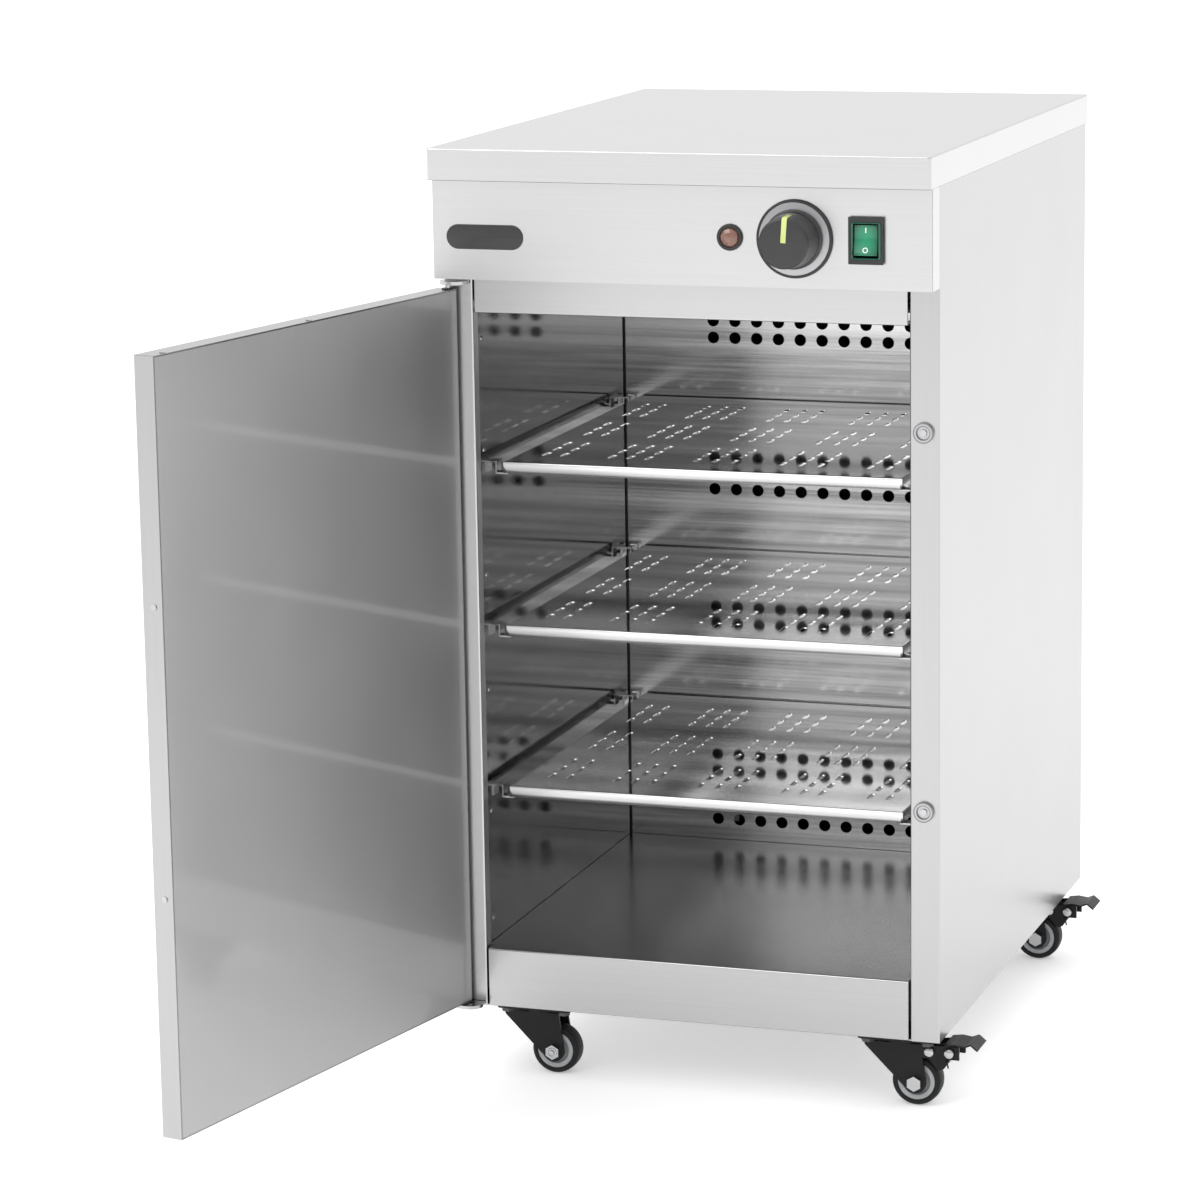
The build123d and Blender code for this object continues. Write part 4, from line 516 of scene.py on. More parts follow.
class Finish:
    """A material on one principled shader. Constants are set on its sockets; what varies is fed."""

    def __init__(self, name, colour, constants):
        self.material = bpy.data.materials.new(name)
        self.material.use_nodes = True
        self.tree = self.material.node_tree
        self.shader = self.tree.nodes["Principled BSDF"]
        self.shader.inputs["Base Color"].default_value = (*colour, 1)
        for socket, value in constants.items():
            self.shader.inputs[socket].default_value = value
        self.place = self.node("ShaderNodeTexCoord").outputs["Object"]

    def node(self, kind, settings=None, sockets=None):
        """Adds one node: settings first, then a value or link for each named socket."""
        made = self.tree.nodes.new(kind)
        for name, value in (settings or {}).items():
            setattr(made, name, value)
        for name, value in (sockets or {}).items():
            socket = made.inputs[name]
            if isinstance(value, Signal):
                value = value.socket
            if isinstance(value, bpy.types.NodeSocket):
                self.tree.links.new(value, socket)
            else:
                socket.default_value = value
        return made

    def noise(self, stretch, detail=2.0, roughness=0.5):
        """Noise over the object's place, by one scale or by a scale for each direction."""
        scales = stretch if isinstance(stretch, tuple) else (stretch,) * 3
        mapped = self.node("ShaderNodeMapping", {}, {"Vector": self.place, "Scale": scales})
        made = self.node(
            "ShaderNodeTexNoise",
            {},
            {"Vector": mapped.outputs[0], "Scale": 1.0, "Detail": detail, "Roughness": roughness},
        )
        return Signal(self, made.outputs["Fac"])

    def grain(self, stretch):
        """The fine noise of brushed sheet."""
        return self.noise(stretch, detail=3.0, roughness=0.6)

    def axis(self, name):
        """How far along X, Y or Z the place lies."""
        parts = self.node("ShaderNodeSeparateXYZ", {}, {0: self.place})
        return Signal(self, parts.outputs[name])

    def across_and_up(self, middle):
        """How far along X and Z the place lies from a middle."""
        return self.axis("X") - middle.x, self.axis("Z") - middle.z

    def paint(self, factor, first, second):
        """Base colour between two colours, by a signal from 0 to 1."""
        sockets = {"Factor": factor, 6: (*first, 1), 7: (*second, 1)}
        made = self.node("ShaderNodeMix", {"data_type": "RGBA"}, sockets)
        self.feed("Base Color", made.outputs[2])

    def paint_shades(self, factor, colour, first, second):
        """Base colour between two shades of one colour, each a share of it."""
        self.paint(factor, shade(colour, first), shade(colour, second))

    def feed(self, socket, value):
        """Links a signal or an output to one of the shader's sockets."""
        value = value.socket if isinstance(value, Signal) else value
        self.tree.links.new(value, self.shader.inputs[socket])

    def bump(self, signal, distance):
        """Relief by a signal, as deep as the distance where it changes from 0 to 1."""
        made = self.node("ShaderNodeBump", {}, {"Height": signal, "Distance": distance})
        self.feed("Normal", made.outputs["Normal"])


def shade(colour, factor):
    """A colour made darker or lighter, with each channel held at 1."""
    return tuple(min(1.0, channel * factor) for channel in colour)


def sheet_steel(name, colour, roughness, grain, depth):
    """Brushed sheet: fine grain drawn out along the rolling direction, over slow clouds."""
    finish = Finish(name, colour, {"Metallic": 1.0})
    fine = finish.grain(grain)
    slow = finish.noise(9.0)
    finish.paint_shades(fine, colour, 0.93, 1.06)
    finish.feed("Roughness", roughness + 0.06 * (fine - 0.5) + 0.04 * (slow - 0.5))
    finish.bump(fine, depth)
    return finish.material


def moulded(name, colour, roughness, grain=6e-5, coat=0.0, gleam=0.5):
    """Moulded plastic: a faint pebble, with slow change of gloss."""
    constants = {"Coat Weight": coat, "Coat Roughness": 0.2, "Specular IOR Level": gleam}
    finish = Finish(name, colour, constants)
    pebble = finish.noise(1800.0)
    slow = finish.noise(60.0)
    finish.paint_shades(slow, colour, 0.85, 1.2)
    finish.feed("Roughness", roughness + 0.12 * (slow - 0.5))
    finish.bump(pebble, grain)
    return finish.material


def shelf_steel(name, colour, roughness):
    """A shelf's sheet: bright on the level, and satin on the lip, which is what lies no further
    back than a little more than the sheet's thickness from the shelf's front."""
    finish = Finish(name, colour, {"Metallic": 1.0})
    fine = finish.grain(ACROSS)
    low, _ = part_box(SHELVES[0])
    lip = 1 - finish.axis("Y").above(low.y + 1.2 * SHELF_GAUGE)
    finish.paint_shades(lip, colour, 1.0, 0.92)
    finish.feed("Roughness", roughness + 0.2 * lip + 0.05 * (fine - 0.5))
    finish.bump(fine, 2e-6)
    return finish.material


def streaked(name, colour, roughness):
    """The back wall's sheet: broad level streaks, where the grain scatters more or less light."""
    finish = Finish(name, colour, {"Metallic": 1.0})
    fine = finish.grain(LEVEL)
    broad = finish.noise((1.6, 1.6, 80.0), 4.0, 0.7)
    streak = ((broad - 0.36) * 3.2).at_least(0.0).at_most(1.0)
    finish.paint_shades(streak, colour, 0.62, 1.42)
    finish.feed("Roughness", roughness + 0.16 * streak + 0.05 * fine)
    finish.bump(fine, 2e-5)
    return finish.material


def door_steel(name, colour, roughness):
    """The door's inner face: a wide blur below a faint clear one, which keeps thin light lines."""
    constants = {"Metallic": 1.0, "Coat Weight": 0.35, "Coat Roughness": 0.07, "Coat IOR": 2.2}
    finish = Finish(name, colour, constants)
    fine = finish.grain(UPRIGHT)
    slow = finish.noise(5.0)
    finish.paint_shades(slow, colour, 0.9, 1.1)
    finish.feed("Roughness", roughness + 0.08 * (fine - 0.5) + 0.1 * (slow - 0.5))
    finish.bump(fine, 1e-5)
    return finish.material


def catch_steel(name, colour):
    """The round catches: dark grooves where the distance from a catch's middle is near a groove's
    radius. The two catches are folded onto one by the distance from the height half-way."""
    finish = Finish(name, colour, {"Metallic": 1.0})
    low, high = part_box("catch_magnets")
    middle, half = (low + high) / 2, (high - low) / 2
    across, rise = finish.across_and_up(middle)
    rise = rise.magnitude() - (half.z - half.x)
    radius = (across * across + rise * rise) ** 0.5
    outer = 1 - (radius - 8.5 * MM).magnitude() / (0.9 * MM)
    inner = 1 - (radius - 6.0 * MM).magnitude() / (0.8 * MM)
    finish.paint_shades(outer.at_least(inner).at_least(0.0), colour, 1.0, 0.3)
    finish.feed("Roughness", 0.25 + 0.1 * finish.noise(90.0))
    return finish.material


def rocker_plastic(name, glowing_middle_colour, shaded_edge_colour):
    """Green plastic with a painted glow towards its middle and painted shade at its edges. With x and
    z the distances across and up from the middle, each over half the rocker's size, it takes the
    shaded edge colour where x^2 + 0.6 z^4 is 1."""
    finish = Finish(name, glowing_middle_colour, {"Coat Weight": 0.6, "Coat Roughness": 0.1})
    low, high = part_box("switch_rocker")
    half = (high - low) / 2
    across, rise = finish.across_and_up((low + high) / 2)
    across, rise = across / half.x, rise / half.z
    edge = across * across + 0.6 * (rise * rise) ** 2
    # The painted glow fades into painted shade towards the edges.
    finish.paint(edge.at_most(1.0), glowing_middle_colour, shaded_edge_colour)
    finish.feed("Roughness", 0.2 + 0.1 * finish.noise(60.0))
    return finish.material


def ring_brushed(name, colour):
    """Aluminium turned about the knob's axis: grain follows circles round that axis."""
    finish = Finish(name, colour, {"Metallic": 1.0})
    across, rise = finish.across_and_up(centre_of("knob_bezel"))
    radius = (across * across + rise * rise) ** 0.5
    sockets = {"W": radius, "Scale": 2600.0, "Detail": 2.0}
    made = finish.node("ShaderNodeTexNoise", {"noise_dimensions": "1D"}, sockets)
    fine = Signal(finish, made.outputs["Fac"])
    finish.paint_shades(fine, colour, 0.85, 1.1)
    finish.feed("Roughness", 0.26 + 0.12 * fine)
    finish.bump(fine, 2e-5)
    return finish.material


def wool(name, colour):
    """Mineral wool: matt, layered fibres."""
    finish = Finish(name, colour, {"Roughness": 0.95})
    layers = finish.noise((60.0, 60.0, 700.0), 4.0, 0.7)
    finish.paint_shades(layers, colour, 1.0, 2.0)
    finish.bump(layers, 4e-4)
    return finish.material


def make_finishes(context):
    """Every finish by its key."""
    steel = context.scene.warmer_steel
    controls = context.scene.warmer_controls
    castors = context.scene.warmer_castors
    satin, control, liner = steel.satin, steel.control, steel.liner
    soft, gloss = steel.satin_roughness, steel.liner_roughness
    return {
        "casing": sheet_steel("casing_steel", satin, soft, UPRIGHT, 2e-5),
        "cover": sheet_steel("cover_steel", control, soft, ACROSS, 2e-5),
        "control": sheet_steel("control_steel", control, soft, LEVEL, 2e-5),
        # The hinge side's steel is the satin steel made lighter: painted light, as both side panels
        # are one steel.
        "lit_hinge_side": sheet_steel("hinge_side_steel", shade(satin, 1.14), soft, UPRIGHT, 2e-5),
        # The door's outer skin is the satin steel made darker: painted shade.
        "shaded_door_skin": sheet_steel("door_skin_steel", shade(satin, 0.88), soft, UPRIGHT, 2e-5),
        # The edge finish is the satin steel darkened to a fifth: painted shade for the casing's
        # rolled edges, and the colour of the castor bolts.
        "edge": sheet_steel("edge_shade_steel", shade(satin, 0.2), 0.4, UPRIGHT, 1e-5),
        # The header's steel is the satin steel made lighter: painted light on the rail recessed under
        # the fascia.
        "header": sheet_steel("lit_header_steel", shade(satin, 1.15), soft, LEVEL, 2e-5),
        # The side walls' steel is the liner made darker: painted shade for the dark reflections in
        # the chamber's mirror-like walls.
        "shaded_side_wall": sheet_steel("side_wall_steel", shade(liner, 0.22), gloss, LEVEL, 1e-5),
        "back_wall": streaked("back_wall_steel", liner, gloss),
        "shelf": shelf_steel("shelf_steel", steel.shelf, steel.shelf_roughness),
        "floor": sheet_steel("floor_steel", steel.basin, 0.2, LEVEL, 1e-5),
        "door": door_steel("door_steel", steel.door, steel.door_roughness),
        "plated": sheet_steel("plated_steel", steel.plated, 0.22, 90.0, 1e-5),
        "catch": catch_steel("catch_steel", (0.46, 0.46, 0.47)),
        "element": sheet_steel("element_steel", (0.22, 0.19, 0.17), 0.5, 60.0, 5e-5),
        "brass": sheet_steel("spindle_brass", (0.72, 0.52, 0.22), 0.3, 400.0, 1e-5),
        "black_coat": moulded("black_coat", steel.black, 0.36, 4e-5, gleam=0.22),
        "black": moulded("black_plastic", controls.knob, 0.42),
        "knob": moulded("knob_plastic", controls.knob, 0.36, 2e-5, 0.2),
        "pointer": moulded("pointer_paint", controls.pointer, 0.5, 2e-5),
        "mark": moulded("mark_paint", controls.mark, 0.5, 1e-5),
        "rocker": rocker_plastic("rocker_plastic", controls.rocker, controls.rocker_edge_shade),
        "collar": moulded("collar_plastic", controls.collar, 0.2, 1e-5, 0.6),
        "lens": moulded("lens_plastic", controls.lens, 0.14, 1e-5, 1.0),
        "tyre": moulded("tyre_rubber", castors.rubber, 0.5, 8e-5, gleam=0.2),
        "rim": moulded("rim_plastic", castors.rim, 0.4, 3e-5),
        "bezel": ring_brushed("bezel_aluminium", (0.42, 0.42, 0.43)),
        "wool": wool("mineral_wool", (0.10, 0.095, 0.08)),
    }


# The finish of each of the frame's solids, by its name or by the start of a castor part's name.
NODE_FINISHES = {
    "casing": ("right_side_panel", "rear_panel", "base_pan", "door_rivets"),
    "cover": ("top_cover",),
    "control": ("control_fascia",),
    # The header rail takes the lightened satin steel: painted light.
    "header": ("header_rail",),
    # The left side panel takes the lightened satin steel: painted light.
    "lit_hinge_side": ("left_side_panel",),
    "shaded_door_skin": ("door_outer_skin",),
    # The side walls and ceiling take the darkened liner steel: painted shade.
    "shaded_side_wall": ("inner_wall_left", "inner_wall_right", "inner_ceiling"),
    "back_wall": ("inner_back_wall",),
    "shelf": SHELVES,
    "floor": ("floor_pan",),
    # The door's outer skin takes the darkened satin steel: painted shade.
    "door": ("door_inner_skin",),
    "plated": (
        "shelf_hooks", "hinge_bracket_bottom", "hinge_bracket_top", "catch_screws",
        "rear_screws",
    ),
    "catch": ("catch_magnets",),
    # The castor bolts take the same dark steel that paints shade on the casing's rolled edges.
    "edge": ("castor_bolts",),
    "element": ("heating_element", "element_brackets"),
    "brass": ("thermostat_spindle",),
    "black_coat": ("castor_plates",),
    "black": (
        "badge_plate", "cable_gland", "door_bushes", "lamp_housing", "switch_housing",
        "terminal_block", "thermostat_body",
    ),
    "knob": ("thermostat_knob",),
    "rocker": ("switch_rocker",),
    "lens": ("lamp_lens",),
    "bezel": ("knob_bezel",),
    "wool": ("cabinet_insulation", "door_core"),
}
CASTOR_FINISHES = {
    "castor_fork": "black_coat", "castor_axle": "plated", "castor_rim": "rim",
    "castor_tyre": "tyre", "brake_pedal": "black_coat",
}


# ------------------------------------------------------------------ operators
class WARMER_OT_finishes(bpy.types.Operator):
    """Makes every finish and puts it on the frame's solids"""

    bl_idname = "warmer.finishes"
    bl_label = "Finishes"

    def execute(self, context):
        FINISHES.update(make_finishes(context))
        chosen = {node: key for key, nodes in NODE_FINISHES.items() for node in nodes}
        for node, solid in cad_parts.items():
            stem = next((stem for stem in CASTOR_FINISHES if node.startswith(stem)), None)
            key = chosen.get(node) or CASTOR_FINISHES[stem]
            solid.data.materials.clear()
            solid.data.materials.append(FINISHES[key])
        return {"FINISHED"}


class WARMER_OT_casing(bpy.types.Operator):
    """Rolls over the folded edges of the outer sheets, with painted shade on the rolled edges, and
    puts dark beads of painted shade in the chamber's rear corners
    """

    bl_idname = "warmer.casing"
    bl_label = "Casing"

    def execute(self, context):
        for node, body, slot, finish in (
            ("top_cover", "cabinet", "satin_steel", "cover"),
            ("control_fascia", "cabinet", "satin_steel", "control"),
            ("header_rail", "cabinet", "satin_steel", "header"),
            ("right_side_panel", "cabinet", "satin_steel", "casing"),
            ("left_side_panel", "cabinet", "satin_steel", "lit_hinge_side"),
            ("floor_pan", "cabinet", "polished_steel", "floor"),
            ("door_outer_skin", "door", "satin_steel", "shaded_door_skin"),
        ):
            # Every rolled edge takes the dark edge finish: painted shade lines along the folds.
            soften(node, body, finish, CASING_FOLD, "edge")
        # A dark bead stands in each upright corner behind: painted shade where the walls meet.
        low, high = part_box("inner_back_wall")
        width, clear, inward = 1.5 * MM, 1.0 * MM, 0.5 * MM
        outline = box_outline(width, high.z - low.z - 2 * clear, 0.3 * MM, 2)
        bead = slab(outline, -0.2 * MM, 0.7 * MM)
        patches = []
        for x in (low.x + inward, high.x - inward):
            patches += placed(bead, (x, low.y, (low.z + high.z) / 2))
        add_piece("corner_shade_beads", patches, "cabinet", "black")
        return {"FINISHED"}


class WARMER_OT_shelves(bpy.types.Operator):
    """Makes the three slotted shelves, each a folded tray"""

    bl_idname = "warmer.shelves"
    bl_label = "Shelves"

    def execute(self, context):
        sheet = context.scene.warmer_sheet
        fold, rim = sheet.fold, 12 * MM
        trio, near = np.arange(-1, 2), 1e-7
        for node in SHELVES:
            low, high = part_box(node)
            middle = (low + high) / 2
            # Slots stand in groups of three by three; those that come near the sides are left out.
            columns = np.arange(-2, 3)[:, None] * sheet.cluster_x + trio * sheet.slot_pitch_x
            margin = high.x - middle.x - rim - sheet.slot_width / 2
            columns = columns[np.abs(columns) < margin]
            rows = (trio[:, None] * sheet.cluster_y + trio * sheet.slot_pitch_y).ravel()
            rows += middle.y - sheet.slot_shift
            edges_x, open_x = ruled(columns, sheet.slot_pitch_x, low.x + fold, high.x - fold)
            edges_y, open_y = ruled(rows, sheet.slot_pitch_y, low.y + fold, high.y - fold)
            patches = pierced(
                edges_x, edges_y, open_x, open_y, sheet.slot_width / 2, sheet.slot_length
            )
            # The border goes outwards and down by a quarter circle, then straight down.
            border = border_walk(edges_x, edges_y)
            ends = np.array([(edges_x[0], edges_y[0]), (edges_x[-1], edges_y[-1])])
            outward = (np.abs(border - ends[1]) < near) * 1.0 - (np.abs(border - ends[0]) < near)
            turn = np.linspace(0, pi / 2, 6)
            reach = np.append(fold * np.sin(turn), fold)
            drop = np.append(fold * (np.cos(turn) - 1), low.z - high.z)
            skirt = np.empty((len(drop), len(border), 3))
            skirt[..., :2] = border + reach[:, None, None] * outward
            skirt[..., 2] = drop[:, None]
            patches.append((skirt, quads(*skirt.shape[:2], wrap_columns=True)))
            patches = [(points + (0, 0, high.z), faces) for points, faces in patches]
            piece = add_piece(
                node + "_sheet", patches, "cabinet", "shelf", (node,),
                solid=False, flat=UP,
            )
            thicken(piece, SHELF_GAUGE)
        return {"FINISHED"}


class WARMER_OT_back_wall(bpy.types.Operator):
    """Makes the chamber's back wall with its rows of round air holes"""

    bl_idname = "warmer.back_wall"
    bl_label = "Back wall"

    def execute(self, context):
        sheet = context.scene.warmer_sheet
        low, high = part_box("inner_back_wall")
        columns = (np.arange(sheet.air_columns) - (sheet.air_columns - 1) / 2) * sheet.air_pitch
        tops = [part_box(shelf)[1].z for shelf in SHELVES]
        pairs = np.array([low.z + sheet.air_low] + [top + sheet.air_rise for top in tops])[:, None]
        rows = (pairs + np.array([-0.5, 0.5]) * sheet.air_row_pitch).ravel()
        edges_x, open_x = ruled(columns, sheet.air_pitch, low.x, high.x)
        edges_z, open_z = ruled(rows, sheet.air_row_pitch, low.z, high.z)
        flat = pierced(edges_x, edges_z, open_x, open_z, sheet.air_hole / 2, sheet.air_hole)
        piece = add_piece(
            "back_wall_sheet", placed(flat, (0, low.y, 0)), "cabinet",
            "back_wall", ("inner_back_wall",), solid=False, flat=FRONT,
        )
        thicken(piece, high.y - low.y)
        return {"FINISHED"}


class WARMER_OT_knob(bpy.types.Operator):
    """Makes the thermostat knob, its pointer and its turned bezel"""

    bl_idname = "warmer.knob"
    bl_label = "Knob"

    def execute(self, context):
        controls = context.scene.warmer_controls
        low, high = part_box("thermostat_knob")
        middle = (low + high) / 2
        base, length = (high.x - low.x) / 2, high.y - low.y
        skirt, ledge, grip, face = 3.6 * MM, 4.6 * MM, base - 1.9 * MM, base * 0.853
        outline = [(0, 0), (0, base), (skirt, base), (ledge, grip), (length, face), (length, 0)]
        steps = 7
        profile = rounded(outline, (0, 0.6 * MM, 1.0 * MM, 1.2 * MM, 2.6 * MM, 0), steps)
        # The outline's first and last corners are sharp, so one point of each is enough.
        profile = profile[np.r_[0, steps:len(profile) - steps + 1]]
        origin = (middle.x, high.y, middle.z)
        add_piece(
            "knob_shell", placed(turned(profile, 96), origin), "thermostat",
            "knob", ("thermostat_knob",), crease=50,
        )
        # The pointer follows the knob's profile from half-way up its flank to the face's middle.
        # Its long sides go down to the knob, and its middle stands up by the lift.
        depth, radius = profile.T
        keep = (depth > 0.5 * length) & (radius > 0.01 * base)
        start, end = (0.52 * length, (grip + face) / 2), (length, 0.5 * MM)
        line = np.concatenate([[start], profile[keep], [end]])
        half, lift, corner = controls.pointer_width / 2, 0.15 * MM, length - 3.3 * MM
        across = np.array([-half, -half * 0.9, half * 0.9, half])
        raised = np.array([0, lift, lift, 0])
        out = line[:, :1] + raised * (line[:, :1] >= corner)
        up = line[:, 1:] + raised
        side = np.broadcast_to(across, up.shape)
        turn = controls.pointer_turn
        grid = np.stack(
            [side * cos(turn) + up * sin(turn), up * cos(turn) - side * sin(turn), out], -1
        )
        piece = add_piece(
            "knob_pointer", placed([(grid, quads(*up.shape))], origin), "thermostat",
            "pointer", solid=False,
        )
        thicken(piece, 0.3 * MM, 0.0)

        low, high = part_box("knob_bezel")
        rim, thick = (high.x - low.x) / 2, high.y - low.y
        bore, step = 6.0 * MM, rim - controls.bezel_shade_rim
        origin = (middle.x, high.y, middle.z)
        ring = rounded(
            [(0, bore), (0, step), (thick, step), (thick, bore)], (0, 0, 0.3 * MM, 0.2 * MM), 4
        )
        add_piece(
            "bezel_ring", placed(turned(ring, 96, closed=True), origin), "cabinet",
            "bezel", ("knob_bezel",),
        )
        # A black ring rolls round the bezel's outside: painted shade on the bezel's rolled outer rim.
        edge = rounded(
            [(0, step), (0, rim), (thick, rim), (thick, step)],
            (0, 0.1 * MM, controls.bezel_shade_rim * 0.8, 0.3 * MM), 7,
        )
        add_piece(
            "bezel_shade_ring", placed(turned(edge, 96, closed=True), origin), "cabinet",
            "black",
        )
        return {"FINISHED"}


class WARMER_OT_lamp(bpy.types.Operator):
    """Makes the signal lamp: a dark rolled bezel round a faceted lens"""

    bl_idname = "warmer.lamp"
    bl_label = "Signal lamp"

    def execute(self, context):
        low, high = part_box("lamp_housing")
        middle = (low + high) / 2
        rim, depth = (high.x - low.x) / 2, high.y - low.y
        flange, seat, barrel, mouth, axis = 2.4 * MM, 1.2 * MM, 6.5 * MM, 8.6 * MM, 0.01 * MM
        section = [
            (-depth, axis), (-depth, barrel), (-flange, barrel), (-flange, rim), (0, rim),
            (0, mouth), (-seat, mouth), (-seat, axis),
        ]
        radii = (0, 0.4 * MM, 0, 0.4 * MM, 1.1 * MM, 0.7 * MM, 0, 0)
        bezel = turned(rounded(section, radii), closed=True)
        add_piece(
            "lamp_bezel", placed(bezel, (middle.x, low.y, middle.z)), "cabinet",
            "black", ("lamp_housing",),
        )
        # The lens is a dome of facets: each ring's points are turned on by half a facet, at the
        # radius times the cosine and the height times the sine of the ring's angle. Its crown is
        # left flat, so the last ring is not a point.
        low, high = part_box("lamp_lens")
        rings, facets, crown = 4, 10, 0.98
        level = np.linspace(0, 1, rings)[:, None]
        radius = (high.x - low.x) / 2 * np.cos(level * pi / 2 * crown)
        angle = (np.arange(facets)[None, :] + 0.5 * np.arange(rings)[:, None]) * tau / facets
        height = (high.y - low.y) * np.sin(level * pi / 2)
        grid = np.stack(
            [radius * np.cos(angle), radius * np.sin(angle), np.broadcast_to(height, angle.shape)],
            -1,
        )
        near = np.arange(facets)
        first = (np.arange(rings - 1) * facets)[:, None]
        here, after = first + near, first + (near + 1) % facets
        lower = np.stack([here, after, here + facets], -1).reshape(-1, 3)
        upper = np.stack([here + facets, after, after + facets], -1).reshape(-1, 3)
        caps = np.stack([near[::-1], (rings - 1) * facets + near])
        dome = [(grid, lower), (grid, upper), (grid, caps)]
        add_piece(
            "lamp_lens_cut", placed(dome, (middle.x, high.y, middle.z)), "cabinet",
            "lens", ("lamp_lens",), crease=1,
        )
        return {"FINISHED"}


class WARMER_OT_switch(bpy.types.Operator):
    """Makes the rocker switch: its frame, the collar, the hollowed rocker and two plain marks"""

    bl_idname = "warmer.switch"
    bl_label = "Switch"

    def execute(self, context):
        low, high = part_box("switch_housing")
        middle = (low + high) / 2
        rocker_low, rocker_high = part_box("switch_rocker")
        tall = rocker_high.z - rocker_low.z
        thick, well = 3.5 * MM, 12.0 * MM
        outer = box_outline(high.x - low.x, high.z - low.z, 2.0 * MM)
        collar = box_outline(26.0 * MM, tall + 3.6 * MM, 2.2 * MM)
        pocket = box_outline(22.0 * MM, tall + 1.4 * MM, 1.0 * MM)
        body = box_outline(27.0 * MM, 36.0 * MM, 1.0 * MM)
        # The frame's sides slope back from its face to the body, which goes through the fascia.
        patches = ring_frame(outer, pocket, -well, thick, 1.2 * MM)
        patches[0][0][:2, :, :2] = body
        patches += slab(body, low.y + thick - high.y, -well, 0.3 * MM)
        origin = (middle.x, low.y + thick, middle.z)
        add_piece(
            "switch_frame", placed(patches, origin), "cabinet", "black",
            ("switch_housing",),
        )
        patches = ring_frame(collar, pocket, thick - 0.5 * MM, thick + 1.6 * MM, 0.6 * MM)
        add_piece("switch_guard", placed(patches, origin), "cabinet", "collar")

        # The rocker's own frame leans back by its tilt; the face dips to a valley in its middle.
        lean = radians(7.5)
        out, up = (0, -cos(lean), sin(lean)), (0, sin(lean), cos(lean))
        pivot = (middle.x, low.y + 3.6 * MM, middle.z)
        half_x, half_z, valley, corner = 10.4 * MM, 13.0 * MM, 3.6 * MM, 5.2 * MM

        def rise(v):
            """Height of the face: the valley, and the way to the corner times the 1.3rd power of
            the distance from the middle over the half height."""
            return valley + (corner - valley) * (np.abs(v) / half_z) ** 1.3

        # A roll is (share of the half size, drop below the face in millimetres).
        roll = np.array([(1.0, -4.0), (1.0, -0.8), (0.985, -0.35), (0.95, -0.1), (0.9, 0.0)])
        side = np.concatenate([-roll[:, 0], roll[::-1, 0]]) * half_x
        side_drop = np.concatenate([roll[:, 1], roll[::-1, 1]]) * MM
        span = np.linspace(-0.9, 0.9, 17)[1:-1] * half_z
        end = np.concatenate([-roll[:, 0] * half_z, span, roll[::-1, 0] * half_z])
        end_drop = np.concatenate([roll[:, 1], 0 * span, roll[::-1, 1]]) * MM
        x, v = np.meshgrid(side, end, indexing="ij")
        u = rise(v) + np.minimum(side_drop[:, None], end_drop[None, :])
        cap = [(np.stack([x, v, u], -1), quads(*x.shape))]
        add_piece(
            "rocker_cap", placed(cap, pivot, out, up), "rocker", "rocker",
            ("switch_rocker",), solid=False, crease=60,
        )
        # The marks lie on the face: an upright bar above its middle and a ring below.
        paint, ring_middle, points = 0.1 * MM, -8.4 * MM, 32
        bar_x, bar_v = np.array([-0.5, 0.5]) * MM, np.linspace(6.2, 10.6, 5) * MM
        x, v = np.meshgrid(bar_x, bar_v, indexing="ij")
        bar = np.stack([x, v, rise(v) + paint], -1)
        angle = np.arange(points) * tau / points
        radius, angle = np.meshgrid(np.array([1.5, 2.4]) * MM, angle, indexing="ij")
        v = radius * np.sin(angle) + ring_middle
        ring = np.stack([radius * np.cos(angle), v, rise(v) + paint], -1)
        marks = [(bar, quads(*x.shape)), (ring, quads(*radius.shape, wrap_columns=True))]
        add_piece(
            "rocker_marks", placed(marks, pivot, out, up), "rocker", "mark",
            solid=False,
        )
        return {"FINISHED"}


class WARMER_OT_badge(bpy.types.Operator):
    """Makes the blank badge: a dark pill with a soft edge"""

    bl_idname = "warmer.badge"
    bl_label = "Badge"

    def execute(self, context):
        low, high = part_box("badge_plate")
        middle = (low + high) / 2
        width, height = high.x - low.x, high.z - low.z
        outline = box_outline(width, height, height / 2 * 0.999, 13)
        pill = slab(outline, 0, high.y - low.y, 0.6 * MM, 5)
        add_piece(
            "badge_pill", placed(pill, (middle.x, high.y, middle.z)), "cabinet",
            "knob", ("badge_plate",),
        )
        return {"FINISHED"}


